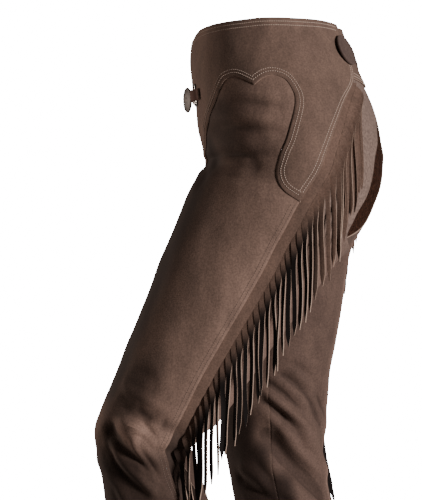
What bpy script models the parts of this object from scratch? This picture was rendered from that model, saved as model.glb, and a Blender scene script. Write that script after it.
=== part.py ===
"""Leather chaps with scalloped yokes and fringed outer seams, in a walking pose.

Units are metres, and the tables are in millimetres and degrees. +Z is up, the front faces -Y and
the left leg is at +X. The origin is the middle of the waist opening. Places on a leg are given as
down, the distance along the leg's centre line from the waist, and round, the angle from the outer
side (0) to the front (90), the inseam (180) and the seat (-90).
"""
from collections import namedtuple

import bmesh
import bpy
import numpy as np
from mathutils import Matrix, Vector
from mathutils.geometry import delaunay_2d_cdt
from mathutils.kdtree import KDTree

MM = 0.001
NAME = "Leather_Chaps"

# Leather and the gaps between its layers, in mm
PANEL = 1.6
FRINGE_LEATHER = 1.4
GAP = 0.4
LAYER_1 = PANEL + GAP
LAYER_2 = LAYER_1 + PANEL + 2 * GAP
YOKE_RISE = PANEL + GAP

# Widths across the outer seam, in mm behind the front panel's visible edge
LAP = 10.0
STRIP_INNER = 9.0
RIDGE = -4.0
STRIP_OUTER = -18.0
LAP_FLAT = -11.0
LAP_RAMP = -29.0
SEAM_MIDDLE = 3.5
SEAM_STIFF = 7.5
SEAM_FREE = 20.0
SEAM_DAMPING = 0.6
SEAM_DAMPING_WIDTH = 26.0
INSEAM_GAP_DEG = 0.3
FRONT_COLUMNS = 10
BACK_COLUMNS = 7

# Sections of the shell. Front and back are where the section's ends lie on the garment's front and
# back outline, x is how far to the side its centre lies, edges and seam are degrees round, and rows
# is the number of mesh rows down to the next section.
Section = namedtuple("Section", "name front_y front_z back_y back_z centre_x half_width "
                                "front_edge back_edge seam rows")
TRUNK = [Section(*row) for row in (
    ("above_waist", -95, 16, 90, 28, 0, 132, 88.8, 86, -66, 1),
    ("waist", -97, -8, 98, 4, 0, 136, 88.8, 84, -66, 2),
    ("high_hip", -99, -34, 110, -28, 1, 145, 89.2, 83, -65.5, 2),
    ("yoke_hem", -96.5, -67, 127, -66, 5, 153, 90.7, 84, -60.5, 2),
    ("seat_top", -91, -98, 142, -100, 11, 158, 92, 85, -42.5, 2),
)]
LEFT_LEG = [Section(*row) for row in (
    ("belly", -86, -130, 150, -134, 20, 156, 92, 78, -31.9, 2),
    ("hip", -79, -156, 155, -166, 31, 147, 92, 66.5, -24, 1),
    ("groin", -75, -174, 155, -193, 44, 135, 92.5, 63, -19.2, 1),
    ("crease", -83, -188, 150, -221, 57, 122, 96, 61, -15.5, 1),
    ("thigh_top", -91, -203, 138, -252, 70, 110, 103.5, 57.5, -13.5, 1),
    ("under_seat", -98, -220, 121, -280, 82, 98, 119, 66, -13.8, 2),
    ("crotch", -105, -240, 99.5, -298.5, 92, 88, 146, 122, -16.3, 1),
    ("thigh_1", -118, -271, 75.5, -331, 94, 87, 180, 180, -18.3, 2),
    ("thigh_2", -135, -313, 45, -371, 95, 86, 180, 180, -19.8, 2),
    ("thigh_3", -153, -360, 8, -421, 97, 82, 180, 180, -20.5, 2),
    ("thigh_4", -174, -413, -29.5, -473.5, 98, 77, 180, 180, -21.8, 2),
    ("thigh_5", -195, -464, -61, -515, 99, 72, 180, 180, -26, 2),
    ("above_knee", -209, -498, -78, -535, 100, 68, 180, 180, -29, 2),
    ("knee", -216, -526, -90, -544, 100, 65, 180, 180, -31, 2),
    ("below_knee", -212, -557, -91, -553, 100, 63, 180, 180, -33, 2),
    ("shin_1", -206, -588, -86, -570, 101, 62, 180, 180, -34, 2),
    ("shin_2", -200, -627, -74, -603, 101, 63, 180, 180, -35.5, 2),
    ("calf", -189, -679, -57, -651, 102, 64, 180, 180, -37, 2),
    ("ankle_1", -174, -750, -41, -722, 103, 64, 180, 180, -38, 2),
    ("ankle_2", -160, -821, -24, -792, 104, 66, 180, 180, -38, 2),
    ("boot", -145, -892, -1, -861, 105, 70, 180, 180, -38, 2),
    ("hem", -131, -961, 23, -925, 106, 75, 180, 180, -38, 1),
)]
RIGHT_LEG = [Section(*row) for row in (
    ("belly", -86, -130, 150, -134, 20, 156, 92, 87, -32, 2),
    ("hip", -79, -156, 155, -166, 31, 147, 92, 81, -25, 1),
    ("groin", -82, -175, 154, -185, 44, 135, 92.5, 78, -20.5, 1),
    ("crease", -83, -200, 150, -206, 57, 122, 96, 78, -20, 1),
    ("thigh_top", -84, -226, 140, -230, 70, 110, 103.5, 81, -21, 1),
    ("under_seat", -84, -253, 126, -255, 82, 98, 119, 95, -22, 2),
    ("crotch", -84, -282, 112, -277, 92, 88, 146, 130, -23, 1),
    ("thigh_1", -82, -319, 103, -310, 94, 87, 180, 180, -24, 2),
    ("thigh_2", -81, -369, 96, -363, 95, 86, 180, 180, -24, 2),
    ("thigh_3", -80, -417, 87, -416, 97, 82, 180, 180, -24, 2),
    ("thigh_4", -77, -462, 78, -463, 98, 77, 180, 180, -25, 2),
    ("thigh_5", -75, -500, 75, -504, 99, 72, 180, 180, -27, 2),
    ("above_knee", -70, -528, 74, -533, 100, 68, 180, 180, -29, 2),
    ("knee", -68, -551, 70, -556, 100, 65, 180, 180, -31, 2),
    ("below_knee", -63, -577, 68, -576, 100, 63, 180, 180, -33, 2),
    ("shin_1", -58, -605, 73, -603, 101, 62, 180, 180, -35, 2),
    ("shin_2", -52, -638, 80, -635, 101, 63, 180, 180, -36, 2),
    ("calf", -44, -687, 89, -682, 102, 64, 180, 180, -37, 2),
    ("ankle_1", -33, -757, 102, -751, 103, 64, 180, 180, -38, 2),
    ("ankle_2", -22, -829, 116, -820, 104, 66, 180, 180, -38, 2),
    ("boot", -10, -902, 134, -890, 105, 70, 180, 180, -38, 2),
    ("hem", -1, -970, 152, -955, 106, 75, 180, 180, -38, 1),
)]

# The waist edge: how far it rises (+) above the waist section, by degrees round
Rise = namedtuple("Rise", "round rise")
WAIST_EDGE = [Rise(*row) for row in (
    (-110, 0), (-75, 0), (-60, 2.5), (-40, 6.4), (-20, 8.4), (0, 9.8),
    (36, 9.5), (55, 8), (72, -2), (92, -6), (110, -6),
)]
RISE_FADE = 60.0

# The largest folds: a soft ridge (+) or trough (-) from one place to another on a leg
Fold = namedtuple("Fold", "down_1 round_1 down_2 round_2 width height")
LEFT_FOLDS = [Fold(*row) for row in (
    (550, 30, 549, -20, 14, -4.5),
    (565, 22, 581, -44, 12, 4.5),
    (573, 2, 578, -14, 10, -3.5),
    (578, 40, 634, -28, 11, -6),
    (568, 12, 640, -52, 12, 5),
    (599, 48, 662, 0, 12, -5),
    (600, -40, 672, -66, 9, -4),
    (586, 110, 600, 165, 13, -5),
    (612, 100, 640, 150, 12, 5),
    (556, -80, 560, -150, 12, -6),
    (585, -70, 590, -160, 11, -5),
    (133, 54, 144, 18, 13, -2.2),
    (190, 56, 190, 22, 12, -2.6),
)]
RIGHT_FOLDS = [Fold(*row) for row in (
    (462, 196, 519, 262, 11, -3.5),
    (475, 182, 533, 248, 10, -4.5),
    (501, 172, 536, 214, 9, -4),
    (530, 208, 600, 262, 14, 6.5),
    (545, 174, 630, 240, 13, -7),
    (594, 146, 640, 208, 12, 5.5),
    (610, 134, 636, 172, 10, -5),
    (540, -60, 556, 10, 12, -5),
    (580, -50, 600, 40, 12, -5),
    (520, -40, 530, 30, 11, 4),
    (133, 54, 144, 18, 13, -2.2),
    (190, 56, 190, 22, 12, -2.6),
)]

# The yoke's lower edge, from its front end to the cusp and from the cusp to the outer seam
EdgePoint = namedtuple("EdgePoint", "down round")
YOKE_FRONT_ARCH = [EdgePoint(*row) for row in (
    (198, 92.4), (172, 72.6), (150, 63.7), (128, 56.7), (108, 47.9), (87, 38.6),
    (73.5, 32.9), (68.2, 28), (67.5, 21.8), (73, 16.5), (80.2, 11.7),
)]
YOKE_SIDE_ARCH = [EdgePoint(*row) for row in (
    (80.2, 11.7), (72.5, 6), (68.2, 1.5), (67.3, -3.3), (71, -7.7), (77, -10), (91, -11.5),
    (106, -10.4), (126, -6.8), (150, -1.5), (172, 4.2), (190, 6.4), (206, 3.3), (218, -3), (227, -14.2),
)]
ARCH_STEPS = 2

# The back yoke's lower edge, in mm down, at the outer seams and at the centre of the back
BACK_YOKE_SIDE_DOWN = 65.0
BACK_YOKE_BACK_DOWN = 72.0

# Fringe: runs of the seam with their distance between strands
Run = namedtuple("Run", "down_from down_to pitch")
LEFT_RUNS = [Run(76, 540, 14), Run(540, 830, 19)]
RIGHT_RUNS = [Run(76, 540, 16), Run(540, 830, 20)]
STRIP_TOP = 72.5
STRIP_END = 846.0
STRAND_WIDTH = 4.6
ROOT_SHARE = 0.36
TIP_SHARE = 0.45
STRAND_DEPTHS = (12.0, 70.0, 128.0)
ROOT_STEP_BACK = 6.0
STRAND_CLEAR = 3.6

# The panels' outer side is sampled over these rows and columns to hang the strands clear of it
SIDE_TOP = 40.0
SIDE_BACK = -90.0
SIDE_FRONT = 60.0
SIDE_ROWS = 420
SIDE_COLUMNS = 160
LOWEST = -1150.0

# How strands lean back, by mm down at the root, and how far they stand out for each mm they hang,
# by height, in mm
Lean = namedtuple("Lean", "down lean")
LEFT_LEAN = [Lean(*row) for row in (
    (60, 0.15), (90, 0.12), (120, 0.08), (150, 0.04), (190, 0.0), (500, 0.0),
    (560, 0.1), (640, 0.3), (1000, 0.36),
)]
RIGHT_LEAN = [Lean(*row) for row in (
    (60, 0.24), (90, 0.2), (120, 0.16), (180, 0.11), (300, 0.06), (450, 0.06), (510, 0.2),
    (560, 0.22), (640, 0.3), (1000, 0.3),
)]
StandOut = namedtuple("StandOut", "z slope")
LEFT_STAND_OUT = [StandOut(*row) for row in ((-1100, 0.15), (-500, 0.15), (-430, 0.04), (0, 0.04))]
RIGHT_STAND_OUT = [StandOut(*row) for row in ((-1100, 0.15), (0, 0.15))]

# Back disc, front tie, rings and concho
ROUND_SIDES = 28
DISC_RADIUS = 21.5
DISC_THICK = 5.0
DISC_EDGE = 1.6
DISC_DOWN = 33.0
DISC_ROUND = -62.0
DISC_LIFT = LAYER_2 + YOKE_RISE + PANEL + 1.0
TIE_DOWN = 85.0
TIE_TALL = 16.0
TIE_THICK = 2.0
TieColumn = namedtuple("TieColumn", "x lift")
TIE = [TieColumn(*row) for row in (
    (-87, 4.2), (-80, 4.2), (-74, 6.9), (-57, 6.9), (-51, 4.7), (-34, 4.5), (-17, 4.5), (0, 4.5),
    (17, 4.5), (34, 4.5), (51, 4.7), (57, 6.9), (74, 6.9), (80, 4.2), (87, 4.2),
)]
RING_X = 66.0
RING_TALL = 30.0
RING_WIDE = 13.0
RING_CORNER = 4.0
RING_WIRE = 1.15
RING_LIFT = YOKE_RISE + PANEL + GAP + RING_WIRE
CONCHO_RADIUS = 17.0
CONCHO_GAP = 1.1
CONCHO_TILT = -5.0
CONCHO_TURN = 16.0
Turned = namedtuple("Turned", "radius height")
CONCHO_PROFILE = [Turned(*row) for row in (
    (0, 9.6), (6, 9.4), (12, 8.4), (14.5, 7.8), (15, 8.6), (CONCHO_RADIUS, 8),
    (CONCHO_RADIUS, 6.4), (14, 5.8), (4, 5.6), (2.5, 0), (0, 0),
)]

Leg = namedtuple("Leg", "side table down folds runs lean stand_out")
Look = namedtuple("Look", "rgb roughness metallic")
LOOKS = {
    "yoke_leather": Look((112, 90, 79), 0.85, 0.0),
    "leg_leather": Look((100, 78, 68), 0.85, 0.0),
    "seat_leather": Look((134, 113, 103), 0.9, 0.0),
    "fringe_leather": Look((92, 71, 62), 0.85, 0.0),
    "disc_leather": Look((99, 79, 73), 0.8, 0.0),
    "dark_metal": Look((70, 68, 66), 0.4, 0.9),
    "nickel": Look((200, 200, 198), 0.25, 1.0),
}


def smooth(knots, values, at):
    """Cubic through the knots, with the slope of the neighbouring chords at each."""
    knots = np.asarray(knots, float)
    values = np.asarray(values, float)
    at = np.asarray(at, float)
    slopes = np.gradient(values, knots)
    i = np.clip(np.searchsorted(knots, at) - 1, 0, len(knots) - 2)
    h = knots[i + 1] - knots[i]
    t = (at - knots[i]) / h
    start = (2 * t**3 - 3 * t**2 + 1) * values[i] + (t**3 - 2 * t**2 + t) * h * slopes[i]
    end = (3 * t**2 - 2 * t**3) * values[i + 1] + (t**3 - t**2) * h * slopes[i + 1]
    return start + end


def ease(low, high, at):
    """0 below low, 1 above high, smooth between."""
    t = np.clip((np.asarray(at, float) - low) / (high - low), 0, 1)
    return t * t * (3 - 2 * t)


def make_leg(side, sections, folds, runs, lean, stand_out):
    """A leg's table by column name, and the distance down at each of its sections."""
    table = {name: np.array([getattr(s, name) for s in sections]) for name in Section._fields}
    middle_y = (table["front_y"] + table["back_y"]) / 2
    middle_z = (table["front_z"] + table["back_z"]) / 2
    steps = np.hypot(np.diff(middle_y), np.diff(middle_z))
    down = np.concatenate([[0], np.cumsum(steps)])
    return Leg(side, table, down - down[1], folds, runs, lean, stand_out)


def column(leg, name, down):
    return smooth(leg.down, leg.table[name], down)


def ring(leg, down, turn):
    """The smooth shell: each section is an ellipse from its front point to its back point."""
    angle = np.radians(turn)
    front_y, front_z, back_y, back_z, centre_x, half_width = (
        column(leg, name, down) for name in Section._fields[1:7])
    x = centre_x + half_width * np.cos(angle)
    y = (front_y + back_y) / 2 + (front_y - back_y) / 2 * np.sin(angle)
    z = (front_z + back_z) / 2 + (front_z - back_z) / 2 * np.sin(angle)
    return np.stack([leg.side * x, y, z], axis=-1)


def outward(leg, down, turn):
    """Unit normal of the smooth shell."""
    along = ring(leg, down + 1.0, turn) - ring(leg, down - 1.0, turn)
    about = ring(leg, down, turn + 0.5) - ring(leg, down, turn - 0.5)
    normal = leg.side * np.cross(about, along)
    return normal / np.linalg.norm(normal, axis=-1, keepdims=True)


def mm_per_degree(leg, down, turn):
    about = ring(leg, down, turn + 0.5) - ring(leg, down, turn - 0.5)
    return np.linalg.norm(about, axis=-1)


def across_seam(leg, down, turn):
    """Degrees round for the folds: the sewn layers are stiff, so that folds run straight over them."""
    scale = mm_per_degree(leg, down, turn)
    middle = column(leg, "seam", down) + SEAM_MIDDLE / scale
    away = (turn - middle) * scale
    spread = (np.abs(away) - SEAM_STIFF) * SEAM_FREE / (SEAM_FREE - SEAM_STIFF)
    moved = np.where(np.abs(away) < SEAM_FREE, np.sign(away) * np.maximum(0, spread), away)
    return middle + moved / scale


def relief(leg, down, turn):
    """Sum of the folds: each is a rounded ridge along a line, faded towards both ends."""
    from_seam = (turn - column(leg, "seam", down)) * mm_per_degree(leg, down, turn)
    damping = 1 - SEAM_DAMPING * np.exp(-(from_seam / SEAM_DAMPING_WIDTH) ** 2)
    turn = across_seam(leg, down, turn)
    total = np.zeros(np.broadcast(down, turn).shape)
    for fold in leg.folds:
        scale = mm_per_degree(leg, (fold.down_1 + fold.down_2) / 2, (fold.round_1 + fold.round_2) / 2)
        run = np.array([fold.down_2 - fold.down_1, (fold.round_2 - fold.round_1) * scale])
        length = np.hypot(*run)
        away = (turn - fold.round_1 + 180) % 360 - 180
        u = ((down - fold.down_1) * run[0] + away * scale * run[1]) / length
        v = ((down - fold.down_1) * run[1] - away * scale * run[0]) / length
        past = np.maximum(0, np.maximum(-u, u - length)) / fold.width
        total = total + fold.height * np.exp(-(v / fold.width) ** 2 - past ** 2)
    return total * damping


def shell(leg, down, turn, lift):
    """A point on the garment: the smooth shell with its folds, moved out by lift."""
    rise = np.interp(turn, [r.round for r in WAIST_EDGE], [r.rise for r in WAIST_EDGE])
    placed = down - rise * np.clip(1 - down / RISE_FADE, 0, 1)
    out = relief(leg, placed, turn) + lift
    return ring(leg, placed, turn) + outward(leg, placed, turn) * out[..., None]


def levels(leg, first, last):
    """Distances down of the mesh rows between two sections, from the table's rows column."""
    names = list(leg.table["name"])
    found = []
    for i in range(names.index(first), names.index(last)):
        count = int(leg.table["rows"][i])
        found += [leg.down[i] + (leg.down[i + 1] - leg.down[i]) * k / count for k in range(count)]
    return np.array(found + [leg.down[names.index(last)]])


def seam_turn(leg, down, across):
    """Degrees round of a line that runs `across` mm in front (+) of the outer seam."""
    seam = column(leg, "seam", down)
    return seam + across / mm_per_degree(leg, down, seam)


Grid = namedtuple("Grid", "leg down turn points normals")


def make_grid(leg, down, turn, lift):
    """Points of a panel by row and column, with the normals of their facets."""
    lifts = np.broadcast_to(lift, turn.shape)
    points = shell(leg, np.broadcast_to(down[:, None], turn.shape), turn, lifts)
    along = np.gradient(points, axis=0)
    about = np.gradient(points, axis=1)
    normals = np.cross(about, along)
    normals /= np.linalg.norm(normals, axis=-1, keepdims=True)
    smooth_out = outward(leg, np.broadcast_to(down[:, None], turn.shape), turn)
    facing = np.sign((normals * smooth_out).sum(axis=-1, keepdims=True))
    return Grid(leg, down, turn, points, normals * facing)


def front_grid(leg):
    """The front panel: its lapped seam edge stands on the fringe strip."""
    down = levels(leg, "waist", "hem")
    edge = np.minimum(column(leg, "front_edge", down), 180 - INSEAM_GAP_DEG)
    lapped = [seam_turn(leg, down, -across) for across in (0.0, LAP_FLAT)]
    start = seam_turn(leg, down, -LAP_RAMP)
    rest = [start + (edge - start) * k / FRONT_COLUMNS for k in range(FRONT_COLUMNS + 1)]
    turn = np.stack(lapped + rest, axis=1)
    lift = np.array([LAYER_2, LAYER_2] + [0.0] * (FRONT_COLUMNS + 1))
    return make_grid(leg, down, turn, lift)


def back_turns(leg, down):
    """Columns of the back panel, from under the front panel to its free edge or the inseam."""
    edge = -np.minimum(column(leg, "back_edge", down), 180 - INSEAM_GAP_DEG)
    near = [seam_turn(leg, down, across) for across in (LAP, RIDGE)]
    start = seam_turn(leg, down, STRIP_OUTER)
    rest = [start + (edge - start) * k / BACK_COLUMNS for k in range(BACK_COLUMNS + 1)]
    return np.stack(near + rest, axis=1)


def back_grid(leg):
    down = levels(leg, "waist", "hem")[3:]
    return make_grid(leg, down, back_turns(leg, down), 0.0)


def cell_corners(i, j):
    """The mesh splits each cell of a grid along the diagonal from its first to its last corner."""
    return ((i, j), (i + 1, j), (i + 1, j + 1)), ((i, j), (i + 1, j + 1), (i, j + 1))


def on_facets(values, i, j):
    """Value at fractional row i and column j, on the facets of the grid's mesh."""
    i0 = np.clip(np.floor(i).astype(int), 0, values.shape[0] - 2)
    j0 = np.clip(np.floor(j).astype(int), 0, values.shape[1] - 2)
    s = (i - i0)[:, None]
    t = (j - j0)[:, None]
    first = values[i0, j0] * (1 - s) + values[i0 + 1, j0] * (s - t) + values[i0 + 1, j0 + 1] * t
    second = values[i0, j0] * (1 - t) + values[i0, j0 + 1] * (t - s) + values[i0 + 1, j0 + 1] * s
    return np.where(s >= t, first, second)


def moved_out(grid, places, lift):
    """Points that lie on a panel, moved out from its facets."""
    i, j = np.asarray(places, float).T
    points = on_facets(grid.points, i, j)
    normals = on_facets(grid.normals, i, j)
    return points + normals / np.linalg.norm(normals, axis=-1, keepdims=True) * lift


def place_on(grid, down, turn):
    """Row and column of a place on a panel's grid."""
    i = float(np.interp(down, grid.down, np.arange(len(grid.down))))
    i0 = min(int(i), len(grid.down) - 2)
    turns = grid.turn[i0] + (grid.turn[i0 + 1] - grid.turn[i0]) * (i - i0)
    j = np.arange(len(turns))
    order = 1 if turns[-1] > turns[0] else -1
    return i, float(np.interp(turn, turns[::order], j[::order]))


def inside(outline, points):
    """Which points lie inside a closed outline, by the crossings of a ray."""
    a = np.asarray(outline, float)
    b = np.roll(a, -1, axis=0)
    px, py = np.asarray(points, float).T
    straddle = (a[:, 1, None] > py) != (b[:, 1, None] > py)
    rise = np.where(b[:, 1] == a[:, 1], 1e-9, b[:, 1] - a[:, 1])[:, None]
    cross_x = a[:, 0, None] + (py - a[:, 1, None]) * (b[:, 0] - a[:, 0])[:, None] / rise
    return (straddle & (px < cross_x)).sum(axis=0) % 2 == 1


def cut_on_grid(outline):
    """Triangles inside an outline given by rows and columns, with an edge along every facet."""
    outline = [tuple(p) for p in outline]
    low = np.floor(np.min(outline, axis=0)).astype(int)
    high = np.ceil(np.max(outline, axis=0)).astype(int)
    corners = [(i, j) for i in range(low[0], high[0] + 1) for j in range(low[1], high[1] + 1)]
    number = {corner: len(outline) + k for k, corner in enumerate(corners)}
    edges = [(k, (k + 1) % len(outline)) for k in range(len(outline))]
    for i, j in corners:
        ends = ((i + 1, j), (i, j + 1), (i + 1, j + 1))
        edges += [(number[i, j], number[end]) for end in ends if end in number]
    flat = [Vector(p) for p in outline + corners]
    points, _, faces, *_ = delaunay_2d_cdt(flat, edges, [], 0, 0.02)
    points = np.array([tuple(p) for p in points])
    middles = points[np.array(faces)].mean(axis=1)
    faces = [face for face, kept in zip(faces, inside(outline, middles)) if kept]
    used = sorted({k for face in faces for k in face})
    renumber = {k: n for n, k in enumerate(used)}
    return points[used], [[renumber[k] for k in face] for face in faces]


def clear_scene():
    for thing in list(bpy.data.objects):
        bpy.data.objects.remove(thing, do_unlink=True)


def new_collection(name):
    group = bpy.data.collections.new(name)
    bpy.context.scene.collection.children.link(group)
    return group


def make_material(name):
    """Principled material; colours are given as sRGB from 0 to 255."""
    look = LOOKS[name]
    material = bpy.data.materials.get(name) or bpy.data.materials.new(name)
    material.use_nodes = True
    shader = material.node_tree.nodes["Principled BSDF"]
    linear = [((c / 255 + 0.055) / 1.055) ** 2.4 for c in look.rgb]
    shader.inputs["Base Color"].default_value = (*linear, 1.0)
    shader.inputs["Roughness"].default_value = look.roughness
    shader.inputs["Metallic"].default_value = look.metallic
    material.diffuse_color = (*linear, 1.0)
    return material


def add_object(name, data, look, group):
    piece = bpy.data.objects.new(name, data)
    data.materials.append(make_material(look))
    group.objects.link(piece)
    return piece


def add_wall(name, points, faces, thickness, look, group):
    """A leather piece: an open surface, thickened outwards."""
    mesh = bpy.data.meshes.new(name)
    mesh.from_pydata([tuple(p * MM) for p in points], [], faces)
    piece = add_object(name, mesh, look, group)
    wall = piece.modifiers.new("Wall", "SOLIDIFY")
    wall.thickness = thickness * MM
    wall.offset = 1.0
    return piece


def facing_out(points, faces, normals):
    """All the faces, turned round together if most of them look away from the panel's outside."""
    faces = [list(face) for face in faces]
    first = np.array([face[:3] for face in faces])
    a, b, c = (np.asarray(points)[first[:, k]] for k in range(3))
    out = (np.cross(b - a, c - a) * np.asarray(normals)[first[:, 0]]).sum()
    return faces if out > 0 else [face[::-1] for face in faces]


def add_panel(name, grid, thickness, look, group):
    rows, columns = grid.turn.shape
    faces = []
    for i in range(rows - 1):
        for j in range(columns - 1):
            faces += [[a * columns + b for a, b in corner] for corner in cell_corners(i, j)]
    points = grid.points.reshape(-1, 3)
    faces = facing_out(points, faces, grid.normals.reshape(-1, 3))
    return add_wall(name, points, faces, thickness, look, group)


def arch(points):
    """A smooth run through an edge's points, two steps between each."""
    knots = np.arange(len(points))
    at = np.linspace(0, len(points) - 1, (len(points) - 1) * ARCH_STEPS + 1)
    return list(zip(smooth(knots, [p.down for p in points], at),
                    smooth(knots, [p.round for p in points], at)))


def yoke_outline(grid):
    """Waist edge, outer seam and scalloped lower edge, by rows and columns of the front panel."""
    last = grid.turn.shape[1] - 1
    lower = [place_on(grid, *p) for p in arch(YOKE_FRONT_ARCH)[:-1] + arch(YOKE_SIDE_ARCH)]
    lower[0] = (lower[0][0], float(last))
    lower[-1] = (lower[-1][0], 0.0)
    waist = [(0.0, float(j)) for j in range(last + 1)]
    seam = [(float(i), 0.0) for i in range(1, int(np.ceil(lower[-1][0])))]
    front = [(float(i), float(last)) for i in range(1, int(np.ceil(lower[0][0])))]
    return waist[::-1] + seam + lower[::-1] + front[::-1]


def add_yoke(name, grid, group):
    places, faces = cut_on_grid(yoke_outline(grid))
    points = moved_out(grid, places, YOKE_RISE)
    faces = facing_out(points, faces, on_facets(grid.normals, *places.T))
    return add_wall(name, points, faces, PANEL, "yoke_leather", group)


def add_back_yoke(left, right, group):
    """Both halves of the band across the back, joined at the centre, on the back panels' columns."""
    halves = []
    for leg in (left, right):
        down = levels(leg, "waist", "yoke_hem")
        turn = back_turns(leg, down)
        turn[:, 0] = seam_turn(leg, down, STRIP_INNER)
        middle = -np.degrees(np.arccos(-column(leg, "centre_x", down) / column(leg, "half_width", down)))
        between = (turn[:, -1] + middle) / 2
        turn = np.column_stack([turn, between, middle])
        share = np.linspace(0, 1, turn.shape[1])
        down = np.broadcast_to(down[:, None], turn.shape).copy()
        down[-1] = BACK_YOKE_SIDE_DOWN + (BACK_YOKE_BACK_DOWN - BACK_YOKE_SIDE_DOWN) * share
        points = shell(leg, down, turn, np.full(turn.shape, LAYER_1))
        normals = outward(leg, down, turn)
        halves.append((points, normals))
    (left_points, left_normals), (right_points, right_normals) = halves
    left_points[:, -1, 0] = 0.0
    points = np.concatenate([left_points, right_points[:, -2::-1]], axis=1)
    normals = np.concatenate([left_normals, right_normals[:, -2::-1]], axis=1)
    rows, columns = points.shape[:2]
    faces = []
    for i in range(rows - 1):
        for j in range(columns - 1):
            mirrored = j >= left_points.shape[1] - 1
            corners = cell_corners(i, j)
            if mirrored:
                corners = (((i, j), (i + 1, j), (i, j + 1)), ((i + 1, j), (i + 1, j + 1), (i, j + 1)))
            faces += [[a * columns + b for a, b in corner] for corner in corners]
    points = points.reshape(-1, 3)
    faces = facing_out(points, faces, normals.reshape(-1, 3))
    return add_wall("back_yoke", points, faces, PANEL, "yoke_leather", group)


def root_places(leg):
    """Middle, in mm down, and distance apart of each strand's root along the strip's free edge."""
    down = np.linspace(STRIP_TOP, STRIP_END, 1500)
    line = ring(leg, down, seam_turn(leg, down, STRIP_OUTER))
    length = np.concatenate([[0], np.cumsum(np.linalg.norm(np.diff(line, axis=0), axis=1))])
    found = []
    for run in leg.runs:
        start, end = np.interp([run.down_from, run.down_to], down, length)
        count = int((end - start) / run.pitch)
        found += [(start + run.pitch * (k + 0.5), run.pitch) for k in range(count)]
    half = [(at, pitch * ROOT_SHARE) for at, pitch in found]
    return [tuple(np.interp([at - h, at, at + h], length, down)) for at, h in half]


SidePoints = namedtuple("SidePoints", "tree reach")


def side_points(leg):
    """The panels' outer side by y and z, with how far to the side a strand must lie to clear it."""
    down, turn = np.meshgrid(np.linspace(SIDE_TOP, leg.down[-1], SIDE_ROWS),
                             np.linspace(SIDE_BACK, SIDE_FRONT, SIDE_COLUMNS), indexing="ij")
    normals = outward(leg, down, turn)
    across = (turn - column(leg, "seam", down)) * mm_per_degree(leg, down, turn)
    lift = PANEL + LAYER_2 * ease(-10, 0, across) * (1 - ease(-LAP_FLAT, -LAP_RAMP, across))
    points = ring(leg, down, turn) + normals * (relief(leg, down, turn) + lift)[..., None]
    tree = KDTree(down.size)
    for k, point in enumerate(points.reshape(-1, 3)):
        tree.insert((0.0, point[1], point[2]), k)
    tree.balance()
    facing = np.clip(np.abs(normals[..., 0]), 0.4, 1.0)
    return SidePoints(tree, (np.abs(points[..., 0]) + STRAND_CLEAR / facing).ravel())


def side_reach(side, y, z):
    """How far to the side a strand must lie at a height and depth, from the nearest points."""
    near = side.tree.find_n((0.0, y, z), 4)
    weights = np.array([1.0 / (distance + 0.2) for _, _, distance in near])
    return float(weights @ side.reach[[k for _, k, _ in near]] / weights.sum())


def stand_out(leg, z):
    """How far strands stand out by the time they hang to a height."""
    heights = np.linspace(LOWEST, 0, SIDE_ROWS)
    slopes = np.interp(heights, [s.z for s in leg.stand_out], [s.slope for s in leg.stand_out])
    total = np.concatenate([[0], np.cumsum((slopes[1:] + slopes[:-1]) / 2 * np.diff(heights))])
    return float(np.interp(z, heights, total))


def strand_pairs(leg, side, root, root_down):
    """Pairs of points down a strand: it steps back from its root and hangs clear of the panels."""
    lean = np.interp(root_down, [s.down for s in leg.lean], [s.lean for s in leg.lean])
    pairs = []
    for depth in STRAND_DEPTHS:
        y = root[1] + ROOT_STEP_BACK + lean * depth
        z = root[2] - depth
        out = stand_out(leg, root[2]) - stand_out(leg, z)
        x = leg.side * (max(abs(root[0]), side_reach(side, y, z)) + out)
        half = STRAND_WIDTH / 2 * (TIP_SHARE if depth == STRAND_DEPTHS[-1] else 1.0)
        pairs.append((np.array([x, y + half, z]), np.array([x, y - half, z])))
    return pairs


def add_fringe(name, grid, group):
    """The strip lies on the back panel's facets; its strands hang from its free edge."""
    leg = grid.leg
    roots = root_places(leg)
    top = place_on(grid, STRIP_TOP, 0)[0]
    end = place_on(grid, STRIP_END, 0)[0]
    inner_column = (LAP - STRIP_INNER) / (LAP - RIDGE)
    outer_column = 2.0
    outer_downs = [at for upper, _, lower in roots for at in (upper, lower)]
    outer_rows = [place_on(grid, at, 0)[0] for at in outer_downs]
    inner_rows = [float(i) for i in range(int(np.ceil(top)) + 1, int(end))]
    outline = [(top, inner_column), (top, 1.0), (top, outer_column)]
    outline += [(i, outer_column) for i in outer_rows]
    outline += [(end, outer_column), (end, 1.0), (end, inner_column)]
    outline += [(i, inner_column) for i in inner_rows[::-1]]
    places, faces = cut_on_grid(outline)
    points = moved_out(grid, places, LAYER_1)
    normals = on_facets(grid.normals, *places.T)
    side = side_points(leg)
    points = list(points)
    free_edge = np.flatnonzero(np.abs(places[:, 1] - outer_column) < 1e-6)
    free_edge = free_edge[np.argsort(places[free_edge, 0])]
    for upper, middle, lower in roots:
        rows = [place_on(grid, at, 0)[0] for at in (upper, lower)]
        first, final = (int(np.argmin(np.abs(places[free_edge, 0] - row))) for row in rows)
        last = list(free_edge[first:final + 1])
        root = (points[last[0]] + points[last[-1]]) / 2
        for pair in strand_pairs(leg, side, root, middle):
            fresh = [len(points), len(points) + 1]
            points += list(pair)
            faces.append(last + fresh[::-1])
            last = fresh
    no_normals = np.zeros((len(points) - len(normals), 3))
    faces = facing_out(points, faces, np.concatenate([normals, no_normals]))
    return add_wall(name, np.array(points), faces, FRINGE_LEATHER, "fringe_leather", group)


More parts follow.
